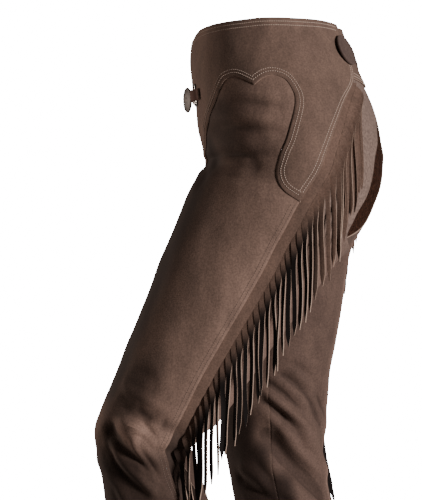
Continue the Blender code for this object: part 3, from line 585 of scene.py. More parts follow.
def mix(nodes, links, factor, first, second, how="MIX"):
    """Colour mix; first and second are colours or links, and factor is a number or a link."""
    node = nodes.new("ShaderNodeMix")
    node.data_type = "RGBA"
    node.blend_type = how
    for socket, value in ((node.inputs["Factor"], factor), (node.inputs["A"], first), (node.inputs["B"], second)):
        if isinstance(value, (tuple, float, int)):
            socket.default_value = value
        else:
            links.new(value, socket)
    return node.outputs["Result"]


def bump(nodes, links, height, strength, distance, under=None):
    node = nodes.new("ShaderNodeBump")
    node.inputs["Strength"].default_value = strength
    node.inputs["Distance"].default_value = distance
    links.new(height, node.inputs["Height"])
    if under is not None:
        links.new(under, node.inputs["Normal"])
    return node.outputs["Normal"]


def suede(name, tone, grain=1.0, sheen=0.25, seat_tone=None, painted_shade_tone=(42, 27, 21)):
    """Napped leather: brushed patches, mottling, fine nap, paler by wear at cut edges and a painted
    highlight on fold crests, and towards the painted shade tone where shade is painted. With a seat
    tone, the leather turns to that tone and a coarser grain where the seat value is 1."""
    material, nodes, links, shader = new_material(name)
    base = srgb(tone)
    dark = srgb([c * 0.88 for c in tone])
    pale = srgb([min(255, c * 1.14 + 3) for c in tone])
    patches = ramp(nodes, links, noise(nodes, links, 14, 4, 0.6), 0.32, 0.68)
    brushed = ramp(nodes, links, noise(nodes, links, 46, 4, 0.6, (1.0, 1.0, 0.45)), 0.3, 0.75)
    nap = noise(nodes, links, 950, 2, 0.6)
    speckle = ramp(nodes, links, noise(nodes, links, 420, 2, 0.7), 0.35, 0.65)
    colour = mix(nodes, links, patches, dark, base)
    colour = mix(nodes, links, brushed, colour, pale)
    # Paler by the piece's value: wear, and a painted highlight on fold crests
    wear_and_highlight = nodes.new("ShaderNodeAttribute")
    wear_and_highlight.attribute_name = "wear_and_highlight"
    colour = mix(nodes, links, wear_and_highlight.outputs["Fac"], colour, pale)
    # Painted shade: the colour turns towards the painted shade tone by the piece's painted shade value
    painted_shade = nodes.new("ShaderNodeAttribute")
    painted_shade.attribute_name = "painted_shade"
    colour = mix(nodes, links, painted_shade.outputs["Fac"], colour, srgb(painted_shade_tone))
    fine = mix(nodes, links, speckle, srgb([236 - 26 * grain] * 3), srgb([255] * 3))
    if seat_tone:
        seat = nodes.new("ShaderNodeAttribute")
        seat.attribute_name = "seat"
        colour = mix(nodes, links, seat.outputs["Fac"], colour, srgb(seat_tone))
        coarse = ramp(nodes, links, noise(nodes, links, 300, 2, 0.7), 0.38, 0.62)
        coarse = mix(nodes, links, coarse, srgb([205] * 3), srgb([255] * 3))
        fine = mix(nodes, links, seat.outputs["Fac"], fine, coarse)
    colour = mix(nodes, links, 1.0, colour, fine, "MULTIPLY")
    links.new(colour, shader.inputs["Base Color"])
    shader.inputs["Roughness"].default_value = 0.86
    shader.inputs["Specular IOR Level"].default_value = 0.22
    shader.inputs["Sheen Weight"].default_value = sheen
    shader.inputs["Sheen Roughness"].default_value = 0.45
    shader.inputs["Sheen Tint"].default_value = srgb((214, 190, 174))
    rough_grain = noise(nodes, links, 240, 3, 0.6)
    normal = bump(nodes, links, rough_grain, 0.35 * grain, 0.0006)
    normal = bump(nodes, links, nap, 0.45, 0.0004, normal)
    links.new(normal, shader.inputs["Normal"])
    return material


def plain(name, tone, roughness, metallic=0.0, scale=300.0, depth=0.0002, contrast=0.12):
    """Thread, cut leather edge or metal: one tone, mottled, with a fine bump."""
    material, nodes, links, shader = new_material(name)
    mottle = ramp(nodes, links, noise(nodes, links, scale, 3, 0.6), 0.3, 0.7)
    dark = srgb([c * (1 - contrast) for c in tone])
    pale = srgb([min(255, c * (1 + contrast)) for c in tone])
    links.new(mix(nodes, links, mottle, dark, pale), shader.inputs["Base Color"])
    shader.inputs["Roughness"].default_value = roughness
    shader.inputs["Metallic"].default_value = metallic
    links.new(bump(nodes, links, mottle, 0.4, depth), shader.inputs["Normal"])
    return material


# Each suede turns towards its painted shade tone, given last or the default, where shade is painted on a piece
YOKE_SUEDE = suede("yoke_suede", (103, 80, 69), 0.8)
LEG_SUEDE = suede("leg_suede", (121, 95, 83), 0.8, 0.06, painted_shade_tone=(40, 26, 20))
BACK_SUEDE = suede("back_suede", (120, 94, 83), 0.8, 0.1, seat_tone=(126, 104, 94), painted_shade_tone=(40, 26, 20))
FRINGE_SUEDE = suede("fringe_suede", (96, 73, 62), 0.9, 0.12, painted_shade_tone=(24, 16, 14))
DISC_SUEDE = suede("disc_suede", (80, 63, 57), 0.7, 0.2)
TIE_LEATHER = suede("tie_leather", (88, 56, 46), 0.5, 0.1)
FLESH_SIDE = plain("flesh_side", (166, 138, 124), 0.95, scale=180.0, depth=0.0006, contrast=0.16)
CUT_EDGE = plain("cut_leather_edge", (158, 132, 116), 0.9, scale=700.0)
THREAD = plain("pale_thread", (182, 158, 143), 0.75, scale=1600.0)
DARK_THREAD = plain("brown_thread", (104, 82, 72), 0.75, scale=1600.0)
DARK_METAL = plain("dark_metal", (58, 50, 45), 0.55, 0.5, scale=260.0, contrast=0.3)
NICKEL = plain("nickel", (205, 204, 200), 0.22, 1.0, scale=900.0, depth=0.00005)


# Meshes

def grid_faces(rows, columns, wrap=False):
    """Quads of a grid of points, row by row, closed round its columns where wrap is set."""
    i, j = np.meshgrid(np.arange(rows - 1), np.arange(columns - (0 if wrap else 1)), indexing="ij")
    next_j = (j + 1) % columns
    return np.stack([i * columns + j, (i + 1) * columns + j, (i + 1) * columns + next_j,
                     i * columns + next_j], axis=-1).reshape(-1, 4)


def add_piece(name, points, faces, materials, wear_and_highlight=None, weld=False):
    """A mesh object at the origin from arrays in mm, smooth shaded, from faces already turned outwards."""
    mesh = bpy.data.meshes.new(name)
    points = np.asarray(points, float).reshape(-1, 3) * MM
    mesh.from_pydata(points.tolist(), [], np.asarray(faces).tolist())
    if wear_and_highlight is not None:
        layer = mesh.attributes.new("wear_and_highlight", "FLOAT", "POINT")
        layer.data.foreach_set("value", np.asarray(wear_and_highlight, np.float32).ravel())
    if weld:
        work = bmesh.new()
        work.from_mesh(mesh)
        bmesh.ops.remove_doubles(work, verts=work.verts[:], dist=0.00002)
        work.to_mesh(mesh)
        work.free()
    mesh.shade_smooth()
    for material in materials:
        mesh.materials.append(material)
    piece = bpy.data.objects.new(name, mesh)
    bpy.context.scene.collection.objects.link(piece)
    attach(piece, "root")
    return piece


def wall(piece, thickness):
    """Thickens a leather sheet outwards; its cut edge takes the second material and its inner side
    the third."""
    modifier = piece.modifiers.new("Leather", "SOLIDIFY")
    modifier.thickness = thickness * MM
    modifier.offset = 1.0
    modifier.material_offset_rim = 1
    modifier.material_offset = 2
    piece.data.set_sharp_from_angle(angle=np.radians(50))
    even = piece.modifiers.new("Even light", "WEIGHTED_NORMAL")
    even.weight = 100
    even.keep_sharp = True
    return piece


def turned_out(points, faces, outs):
    """All the faces of a sheet, turned together if most of them look away from its outside."""
    flat = np.asarray(points).reshape(-1, 3)
    a, b, c = (flat[faces[:, k]] for k in range(3))
    out = (np.cross(b - a, c - a) * np.asarray(outs).reshape(-1, 3)[faces[:, 0]]).sum()
    return faces if out > 0 else faces[:, ::-1]


def add_sheet(name, node, points, outs, thickness, material, wear_and_highlight, weld=False):
    faces = turned_out(points, grid_faces(*points.shape[:2]), outs)
    piece = add_piece(name, points, faces, [material, CUT_EDGE, FLESH_SIDE], wear_and_highlight, weld)
    wall(piece, thickness)
    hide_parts(node)
    return piece


def crest_highlight_and_wear(leg, down, turn, edge_mm):
    """Paler from 0 to 1: a painted highlight on the crests of folds, and wear beside cut edges."""
    # Painted highlight on the fold crests
    crests = np.clip(relief(leg, down, turn) / 5.0 - 0.1, 0, 0.7)
    return np.clip(crests + 0.35 * np.exp(-edge_mm / 2.5), 0, 1)


def set_value(piece, name, values):
    layer = piece.data.attributes.new(name, "FLOAT", "POINT")
    layer.data.foreach_set("value", np.asarray(values, np.float32).ravel())


def painted_shade(leg, down, turn):
    """Painted shade from 0 to 1: the darkest of the painted shade boxes, each in down and round with
    soft edges, and of the shade painted in the troughs of the folds."""
    full_turn = np.where(turn < -100, turn + 360, turn)
    # Painted shade in the troughs of the folds, where shade falls
    darkest = TROUGH_PAINTED_SHADE * np.clip(-relief(leg, down, turn) / 4.0 - 0.15, 0, 1)
    for shade in leg.shades:
        inside = (ease(shade.down_1 - SHADE_SOFT_MM, shade.down_1 + SHADE_SOFT_MM, down)
                  * ease(-shade.down_2 - SHADE_SOFT_MM, -shade.down_2 + SHADE_SOFT_MM, -down)
                  * ease(shade.round_1 - SHADE_SOFT_DEG, shade.round_1 + SHADE_SOFT_DEG, full_turn)
                  * ease(-shade.round_2 - SHADE_SOFT_DEG, -shade.round_2 + SHADE_SOFT_DEG, -full_turn))
        darkest = np.maximum(darkest, shade.amount * inside)
    return darkest


def front_panel(leg):
    """From the lapped seam edge round the front to the front edge and inseam: turn runs from the
    seam to the edge, and lift is the lap's."""
    count = int((leg.down[-1]) / FINE)
    down = np.linspace(0, leg.down[-1], count)[:, None]
    edge = np.minimum(column(leg, "front_edge", down), 180 + INSEAM_OVER_DEG)
    seam = column(leg, "seam", down)
    share = np.linspace(0, 1, 90)[None]
    turn = seam + (edge - seam) * share
    across = (turn - seam) * mm_per_degree(leg, down, turn)
    down = np.broadcast_to(down, turn.shape)
    points = shell(leg, down, turn, lap_lift(across))
    outs = outward(leg, down, turn)
    to_edge = np.minimum(across, leg.down[-1] - down)
    piece = add_sheet("leather_front_" + leg.word, "leg_front_" + leg.word, points, outs, PANEL, LEG_SUEDE,
                      crest_highlight_and_wear(leg, down, turn, to_edge))
    # Painted shade on the front panel
    set_value(piece, "painted_shade", painted_shade(leg, down, turn))
    return piece, points


def back_panel(leg):
    """From under the front panel to the seat's free edge, and below the seat to the inseam."""
    count = int((leg.down[-1] - BACK_PANEL_TOP) / FINE)
    down = np.linspace(BACK_PANEL_TOP, leg.down[-1], count)[:, None]
    edge = -np.minimum(column(leg, "back_edge", down), 180 + INSEAM_OVER_DEG)
    start = seam_turn(leg, down, LAP)
    share = np.linspace(0, 1, 62)[None]
    turn = start + (edge - start) * share
    down = np.broadcast_to(down, turn.shape)
    from_inseam = np.abs(turn - edge) * mm_per_degree(leg, down, turn)
    sewn = down >= leg.down[list(leg.table["name"]).index("thigh_1")]
    points = shell(leg, down, turn, -INSEAM_UNDER * np.exp(-from_inseam / 3.0) * sewn)
    to_edge = np.where(sewn, leg.down[-1] - down, np.minimum(from_inseam, leg.down[-1] - down))
    piece = add_sheet("leather_back_" + leg.word, "leg_back_" + leg.word, points, outward(leg, down, turn),
                      PANEL, BACK_SUEDE, crest_highlight_and_wear(leg, down, turn, to_edge))
    set_value(piece, "seat", 1 - ease(SEAT_FROM, SEAT_TO, down))
    # Painted shade on the back panel
    set_value(piece, "painted_shade", painted_shade(leg, down, turn))
    return piece, points


def yoke_edge():
    """The lower edge's places by number, smooth through the table's points in each arch."""
    lines = []
    for arch in (YOKE_FRONT_ARCH, YOKE_SIDE_ARCH):
        at = np.linspace(0, len(arch) - 1, (len(arch) - 1) * YOKE_STEPS + 1)
        knots = np.arange(len(arch))
        lines.append(np.stack([smooth(knots, [p.down for p in arch], at),
                               smooth(knots, [p.round for p in arch], at)], axis=-1))
    line = np.concatenate([lines[0][:-1], lines[1]])
    return line[:, 0], line[:, 1], np.arange(len(line)) / YOKE_STEPS


def yoke_places(leg):
    """Ruled between the lower edge and the outer outline: place = edge + share * (outline - edge)."""
    edge_down, edge_turn, number = yoke_edge()
    outer_down = np.interp(number, [r.number for r in YOKE_RIBS], [r.down for r in YOKE_RIBS])
    outer_turn = np.interp(number, [r.number for r in YOKE_RIBS], [r.round for r in YOKE_RIBS])
    front = np.minimum(column(leg, "front_edge", outer_down), 180)
    outer_turn = np.where(number <= FRONT_CORNER, front, outer_turn)
    outer_turn = np.where(number >= SEAM_CORNER, column(leg, "seam", outer_down), outer_turn)
    share = np.linspace(0, 1, YOKE_ROWS)[:, None]
    down = edge_down + share * (outer_down - edge_down)
    turn = edge_turn + share * (outer_turn - edge_turn)
    return down, turn


def yoke(leg):
    """The hip piece over the front panel, pressed down a little at its stitched edge."""
    down, turn = yoke_places(leg)
    across = (turn - column(leg, "seam", down)) * mm_per_degree(leg, down, turn)
    flat = ring(leg, down, turn)
    from_edge = np.linalg.norm(flat - flat[:1], axis=-1)
    pressed = 0.25 * np.exp(-((from_edge - 7.0) / 3.0) ** 2) + YOKE_EDGE_PRESSED * np.exp(-from_edge / 4.0)
    points = shell(leg, down, turn, lap_lift(across) + YOKE_RISE - pressed)
    edge_mm = np.minimum(from_edge, np.abs(across))
    piece = add_sheet("leather_yoke_" + leg.word, "yoke_" + leg.word, points, outward(leg, down, turn), PANEL,
                      YOKE_SUEDE, crest_highlight_and_wear(leg, down, turn, edge_mm), weld=True)
    return piece, points


def back_yoke(left, right):
    """Both halves of the band across the back: down runs from the waist edge to a line that drops
    from the outer seams to the centre, and turn from under the front panels to the centre."""
    halves = []
    for leg in (left, right):
        share = np.linspace(0, 1, 46)[None]
        level = np.linspace(0, 1, 24)[:, None]
        lower = BACK_YOKE_SIDE_DOWN + (BACK_YOKE_BACK_DOWN - BACK_YOKE_SIDE_DOWN) * share
        down = level * lower
        middle = -np.degrees(np.arccos(-column(leg, "centre_x", down) / column(leg, "half_width", down)))
        start = seam_turn(leg, down, STRIP_INNER)
        turn = start + (middle - start) * share
        halves.append((shell(leg, down, turn, np.full(turn.shape, LAYER_1)), outward(leg, down, turn)))
    (left_points, left_outs), (right_points, right_outs) = halves
    middle = (left_points[:, -1] + right_points[:, -1]) / 2
    middle[:, 0] = 0
    points = np.concatenate([left_points[:, :-1], middle[:, None], right_points[:, -2::-1]], axis=1)
    outs = np.concatenate([left_outs, right_outs[:, -2::-1]], axis=1)
    blend = np.abs(points[..., 0]) < 12
    points[..., 1] = np.where(blend, points[:, :, 1], points[:, :, 1])
    wear_and_highlight = np.zeros(points.shape[:2])
    piece = add_sheet("leather_back_yoke", "back_yoke", points, outs, PANEL, YOKE_SUEDE, wear_and_highlight)
    return piece, points


# Fringe

def side_map(leg):
    """How far to the side the panels reach, in cells of height and depth, softened."""
    cell, low_y, low_z = 4.0, -260.0, -1010.0
    down, turn = np.meshgrid(np.linspace(30, leg.down[-1], 900), np.linspace(-95, 70, 420), indexing="ij")
    across = (turn - column(leg, "seam", down)) * mm_per_degree(leg, down, turn)
    lift = PANEL + np.where(across < 0, LAYER_1 * (across > STRIP_OUTER), lap_lift(across))
    points = shell(leg, down, turn, lift)
    reach = np.zeros((260, 120))
    iz = ((points[..., 2] - low_z) / cell).astype(int)
    iy = ((points[..., 1] - low_y) / cell).astype(int)
    np.maximum.at(reach, (iz.ravel(), iy.ravel()), np.abs(points[..., 0]).ravel())
    soft = reach.copy()
    for axis in (0, 1):
        soft = np.maximum(soft, np.maximum(np.roll(soft, 1, axis), np.roll(soft, -1, axis)) * (soft == 0))
    for axis in (0, 1):
        soft = (np.roll(soft, 1, axis) + 2 * soft + np.roll(soft, -1, axis)) / 4

    def look_up(y, z):
        v = np.clip((z - low_z) / cell - 0.5, 0, 258)
        u = np.clip((y - low_y) / cell - 0.5, 0, 118)
        i, j = v.astype(int), u.astype(int)
        s, t = v - i, u - j
        top = soft[i, j] * (1 - t) + soft[i, j + 1] * t
        low = soft[i + 1, j] * (1 - t) + soft[i + 1, j + 1] * t
        return top * (1 - s) + low * s
    return look_up


def root_places(leg):
    """Distance down of the middle of each strand's root on the strip's free edge, and its width."""
    down = np.linspace(STRIP_TOP, STRIP_END, 1500)
    line = ring(leg, down, seam_turn(leg, down, STRIP_OUTER))
    length = np.concatenate([[0], np.cumsum(np.linalg.norm(np.diff(line, axis=0), axis=1))])
    places, widths = [], []
    for run in leg.runs:
        start, end = np.interp([run.down_from, run.down_to], down, length)
        count = int((end - start) / run.pitch)
        places.append(start + run.pitch * (np.arange(count) + 0.5))
        widths.append(np.full(count, run.pitch * STRAND_ROOT_SHARE))
    return np.interp(np.concatenate(places), length, down), np.concatenate(widths)


def stood_out(leg, z):
    """How far strands stand out by the time they hang to a height."""
    heights = np.linspace(-1150, 0, 600)
    slopes = np.interp(heights, [s.z for s in leg.stand_out], [s.slope for s in leg.stand_out])
    total = np.concatenate([[0], np.cumsum((slopes[1:] + slopes[:-1]) / 2 * np.diff(heights))])
    return np.interp(z, heights, total)


def fringe(leg):
    """A strip along the seam, and strands cut from its free edge. A strand's middle line steps back
    from its root and hangs: y = root + step * (1 - e^-s/8) + lean * s + wave, z = root - s, and x is
    the larger of the root's and the panels' reach, plus what it stands out. Its section is a thin
    rectangle that turns from the seam's direction to the depth's, twists, and narrows to a point."""
    rng = np.random.default_rng(leg.seed + 5)
    rows = int((STRIP_END - STRIP_TOP) / 4.0)
    down = np.linspace(STRIP_TOP, STRIP_END, rows)[:, None]
    across = np.linspace(STRIP_INNER, STRIP_OUTER, 9)[None]
    turn = seam_turn(leg, down, across)
    down = np.broadcast_to(down, turn.shape)
    strip = shell(leg, down, turn, np.full(turn.shape, LAYER_1))
    outs = outward(leg, down, turn)
    inner = strip.reshape(-1, 3)
    outer = (strip + outs * FRINGE_LEATHER).reshape(-1, 3)
    top_faces = turned_out(strip, grid_faces(*strip.shape[:2]), outs)
    count = len(inner)
    rim = np.concatenate([np.arange(9), np.arange(1, rows) * 9 + 8, (rows - 1) * 9 + np.arange(8)[::-1],
                          np.arange(rows - 1)[::-1] * 9])
    rim = rim[:-1] if rim[0] == rim[-1] else rim
    after = np.roll(rim, -1)
    rim_faces = np.stack([rim, after, after + count, rim + count], axis=-1)

    root_down, root_width = root_places(leg)
    n = len(root_down)
    at = np.array(root_down)
    root_turn = seam_turn(leg, at, STRIP_OUTER + ROOT_OVERLAP)
    root = shell(leg, at, root_turn, np.full(n, LAYER_1 + FRINGE_LEATHER / 2 + ROOT_RISE))
    root_out = outward(leg, at, root_turn)
    seam_way = unit(ring(leg, at + 4, seam_turn(leg, at + 4, STRIP_OUTER)) -
                    ring(leg, at - 4, seam_turn(leg, at - 4, STRIP_OUTER)))
    length = STRAND_LENGTH * rng.uniform(0.95, 1.03, n)
    s = np.linspace(0, 1, STRAND_STATIONS)[None] ** 1.15 * length[:, None]
    lean = np.interp(at, [p.down for p in leg.lean], [p.lean for p in leg.lean])[:, None]
    forward = -seam_way[:, 1:2]
    step_back = ROOT_STEP_BACK * (1 - 0.85 * ease(0.15, 0.45, forward))
    turned = 1 - np.exp(-s / 8.0)
    lifted = ease(5, 36, s)
    free = ease(8, 60, s)
    wave_y = 0.8 * np.sin(s / rng.uniform(14, 24, (n, 1)) + rng.uniform(0, 6.3, (n, 1))) * free
    drift_y = rng.normal(0, 0.012, (n, 1)) * s * free
    wave_x = 0.8 * np.sin(s / rng.uniform(12, 22, (n, 1)) + rng.uniform(0, 6.3, (n, 1))) * free
    y = root[:, 1:2] + step_back * turned + lean * s + wave_y + drift_y
    z = root[:, 2:3] - s + 2.0 * turned
    reach = side_map(leg)(y, z)
    bare = np.abs(root[:, :1])
    cleared = bare + np.maximum(0, reach + 1.5 - bare) * lifted + (STRAND_CLEAR - 1.5) * lifted
    for _ in range(3):
        cleared[:, 1:-1] = (cleared[:, :-2] + 2 * cleared[:, 1:-1] + cleared[:, 2:]) / 4
    cleared = np.maximum(cleared, (reach + 1.4) * turned)
    out = stood_out(leg, root[:, 2:3]) - stood_out(leg, z)
    x = leg.side * (cleared + out + wave_x)
    path = np.stack([x, y, z], axis=-1)
    path[:, 0] = root
    tangent = unit(np.gradient(path, axis=1))
    depth_way = np.array([0.0, 1.0, 0.0])
    turning = ease(0, 16, s)[..., None]
    side_way = seam_way[:, None] * -1 * (1 - turning) + depth_way * turning
    side_way = unit(side_way - tangent * (side_way * tangent).sum(-1, keepdims=True) * turning)
    face_way = unit(np.cross(tangent, side_way))
    slant = np.linalg.norm(np.cross(side_way, tangent), axis=-1)
    turned_by = np.interp(at, [t.down for t in TWIST], [t.degrees for t in TWIST])[:, None]
    twist = turned_by * ease(9, 42, s) + (rng.normal(0, 11, (n, 1)) + rng.normal(0, 16, (n, 1)) * s / 90) * free
    twist = np.radians(leg.side * twist)
    side_way, face_way = (side_way * np.cos(twist)[..., None] + face_way * np.sin(twist)[..., None],
                          face_way * np.cos(twist)[..., None] - side_way * np.sin(twist)[..., None])
    narrowing = 1 - 0.86 * ease(0.88, 1.01, s / length[:, None])
    width = rng.uniform(0.86, 1.12, (n, 1)) * STRAND_WIDTH
    root_across = root_width[:, None] * slant[:, :1]
    width = (root_across + (width - root_across) * ease(10, 34, s)) / slant
    half = (width * narrowing / 2)[..., None]
    curl = (0.10 * rng.normal(0, 1, (n, 1)) * free * width)[..., None]
    thick = FRINGE_LEATHER / 2
    offsets = (side_way * half + face_way * (thick + curl), face_way * thick, -side_way * half + face_way * (thick + curl),
               -side_way * half + face_way * (-thick + curl), -face_way * thick, side_way * half + face_way * (-thick + curl))
    strands = np.stack([path + o for o in offsets], axis=2)
    sides = 6
    one = grid_faces(STRAND_STATIONS, sides, wrap=True)
    cap = (STRAND_STATIONS - 1) * sides
    caps = np.array([[0, 5, 4, 1], [1, 4, 3, 2],
                     [cap, cap + 1, cap + 4, cap + 5], [cap + 1, cap + 2, cap + 3, cap + 4]])
    faces = np.concatenate([one, caps])
    base = 2 * count + np.arange(n)[:, None, None] * STRAND_STATIONS * sides
    strand_faces = (faces[None] + base).reshape(-1, 4)
    middle = strands.mean(axis=2, keepdims=True)
    flat = strands.reshape(-1, 3)
    local = strand_faces - 2 * count
    a, b, c = (flat[local[:, k]] for k in range(3))
    centre = np.broadcast_to(middle, strands.shape).reshape(-1, 3)[local[:, 0]]
    if (np.cross(b - a, c - a) * (a - centre)).sum() < 0:
        strand_faces = strand_faces[:, ::-1]
    edge_face = np.zeros(len(faces), int)
    start = np.arange(len(one)) % sides
    edge_face[:len(one)] = (start == 2) | (start == 5)
    edge_face[len(one) + 2:] = 1
    strip_faces = np.concatenate([top_faces + count, top_faces[:, ::-1]])
    points = np.concatenate([inner, outer, flat])
    all_faces = np.concatenate([strip_faces, rim_faces, strand_faces])
    marks = np.concatenate([np.zeros(len(strip_faces), int), np.ones(len(rim_faces), int), np.tile(edge_face, n)])
    wear_and_highlight = np.concatenate([np.full(2 * count, 0.1), np.repeat(rng.uniform(0, 0.55, n), STRAND_STATIONS * sides)])
    piece = add_piece("leather_fringe_" + leg.word, points, all_faces, [FRINGE_SUEDE, CUT_EDGE],
                      wear_and_highlight)
    piece.data.polygons.foreach_set("material_index", marks.astype(np.int32))
    piece.data.set_sharp_from_angle(angle=np.radians(40))
    # Painted shade: strands below the hip darken down their length, and the strip and strands below the knee
    # darken
    dark = ease(STRAND_PAINTED_SHADE_FROM, STRAND_PAINTED_SHADE_TO, at)[:, None] * ease(7, 32, s)
    knee_painted_shade = 0.7 * ease(KNEE_PAINTED_SHADE_FROM, KNEE_PAINTED_SHADE_TO, down)
    dark = np.maximum(dark, 0.7 * ease(KNEE_PAINTED_SHADE_FROM, KNEE_PAINTED_SHADE_TO, at)[:, None])
    set_value(piece, "painted_shade", np.concatenate([np.tile(knee_painted_shade.ravel(), 2), np.repeat(dark.ravel(), sides)]))
    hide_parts("fringe_" + leg.word)
    return piece


# Stitches

def stitch_rows(name, lines, thread):
    """Each stitch is a short bead: radius * sqrt(1 - (2u)^4) round its length, half sunk in the
    leather, one every pitch along lines given as points with outward normals."""
    at_u = np.array([-0.5, -0.42, -0.2, 0.2, 0.42, 0.5])
    swell = np.array([0.05, 0.65, 1.0, 1.0, 0.65, 0.05])
    angle = np.arange(6) * np.pi / 3
    beads = []
    for points, outs in lines:
        step = np.linalg.norm(np.diff(points, axis=0), axis=1)
        length = np.concatenate([[0], np.cumsum(step)])
        spots = np.arange(STITCH_PITCH / 2, length[-1], STITCH_PITCH)
        middle = np.stack([np.interp(spots, length, points[:, k]) for k in range(3)], axis=-1)
        ahead = np.stack([np.interp(spots + 1, length, points[:, k]) for k in range(3)], axis=-1)
        out = unit(np.stack([np.interp(spots, length, outs[:, k]) for k in range(3)], axis=-1))
        along = unit(ahead - middle)
        beside = unit(np.cross(out, along))
        u = at_u[None, :, None, None] * STITCH_LONG
        r = swell[None, :, None, None] * STITCH_THICK / 2
        body = (middle[:, None, None] + along[:, None, None] * u
                + beside[:, None, None] * r * np.cos(angle)[None, None, :, None]
                + out[:, None, None] * r * np.sin(angle)[None, None, :, None])
        beads.append(body.reshape(-1, 3))
    points = np.concatenate(beads)
    n = len(points) // 36
    one = grid_faces(6, 6, wrap=True)
    ends = np.array([[0, 1, 2, 3], [0, 3, 4, 5], [30, 33, 32, 31], [30, 35, 34, 33]])
    faces = (np.concatenate([one, ends])[None] + np.arange(n)[:, None, None] * 36).reshape(-1, 4)
    a, b, c = (points[faces[:, k]] for k in range(3))
    centres = np.repeat(points.reshape(n, 36, 3).mean(axis=1), len(one) + 4, axis=0)
    if (np.cross(b - a, c - a) * (a - centres)).sum() < 0:
        faces = faces[:, ::-1]
    return add_piece(name, points, faces, [thread])


def on_leather(leg, down, turn, lift):
    return shell(leg, down, turn, lift), outward(leg, down, turn)


def beside_edge(leg, distance):
    """The yoke's lower edge moved into the yoke by a distance, with its loops at the cusp cut off."""
    down, turn, _ = yoke_edge()
    scale = mm_per_degree(leg, down, turn)
    way = unit(np.stack([np.gradient(down), np.gradient(turn) * scale], axis=-1))
    moved_down = down - way[:, 1] * distance * -1
    moved_turn = turn + way[:, 0] * distance * -1 / scale
    moved = ring(leg, moved_down, moved_turn)
    edge = ring(leg, down, turn)
    nearest = np.linalg.norm(moved[:, None] - edge[None], axis=-1).min(axis=1)
    return moved_down, moved_turn, nearest > distance * 0.8


def leg_stitches(leg):
    """Twin rows beside the yoke's lower edge, the waist edge and the outer seam: pale thread on the
    yoke and brown thread down the leg."""
    lines, low_lines = [], []
    top = YOKE_RISE + PANEL
    for distance in (5.0, 9.0):
        down, turn, kept = beside_edge(leg, distance)
        across = (turn - column(leg, "seam", down)) * mm_per_degree(leg, down, turn)
        kept = kept & (across > 3)
        points, outs = on_leather(leg, down, turn, lap_lift(across) + top - 0.1)
        breaks = np.flatnonzero(np.diff(kept.astype(int))) + 1
        for part in np.split(np.arange(len(kept)), breaks):
            if kept[part[0]] and len(part) > 3:
                lines.append((points[part], outs[part]))
    for depth in (4.5, 9.0):
        turn = np.linspace(87, -62, 160)
        down = np.full(turn.shape, depth)
        across = (turn - column(leg, "seam", down)) * mm_per_degree(leg, down, turn)
        lines.append(on_leather(leg, down, turn, lap_lift(across) + top))
    for across in (3.6, 8.2):
        for kept_in, first, last, lift in ((lines, 14, 216, LAYER_2 + top),
                                           (low_lines, 232, leg.down[-1] - 6, LAYER_2 + PANEL)):
            down = np.linspace(first, last, int((last - first) / 3))
            turn = seam_turn(leg, down, across)
            kept_in.append(on_leather(leg, down, turn, np.full(down.shape, lift)))
    return (stitch_rows("stitches_yoke_" + leg.word, lines, THREAD),
            stitch_rows("stitches_leg_" + leg.word, low_lines, DARK_THREAD))


def back_stitches(left, right):
    """Twin rows over the back yoke's lower edge."""
    lines = []
    for leg in (left, right):
        for above in (3.5, 7.5):
            share = np.linspace(0.2, 0.995, 120)
            down = BACK_YOKE_SIDE_DOWN + (BACK_YOKE_BACK_DOWN - BACK_YOKE_SIDE_DOWN) * share - above
            middle = -np.degrees(np.arccos(-column(leg, "centre_x", down) / column(leg, "half_width", down)))
            start = seam_turn(leg, down, STRIP_INNER)
            lines.append(on_leather(leg, down, start + (middle - start) * share,
                                    np.full(down.shape, LAYER_1 + PANEL)))
    return stitch_rows("stitches_back", lines, THREAD)


# Metal and small leather

def turned(profile, segments):
    """A profile of radius and height turned round its axis; its ends lie on the axis."""
    radius, height = np.asarray(profile, float).T
    angle = np.arange(segments) * 2 * np.pi / segments
    return np.stack([radius[:, None] * np.cos(angle), radius[:, None] * np.sin(angle),
                     np.broadcast_to(height[:, None], (len(radius), segments))], axis=-1)


def frame_at(leg, down, turn, lift):
    """Origin and axes on the shell: out is outward, across is level and above is between them."""
    at = [np.array(float(v)) for v in (down, turn, lift)]
    smooth_point = ring(leg, at[0], at[1]) + outward(leg, at[0], at[1]) * lift
    out = outward(leg, at[0], at[1])
    across = unit(np.cross([0.0, 0.0, 1.0], out))
    return smooth_point, across, np.cross(out, across), out


def placed(points, origin, across, above, out):
    return origin + points[..., :1] * across + points[..., 1:2] * above + points[..., 2:3] * out


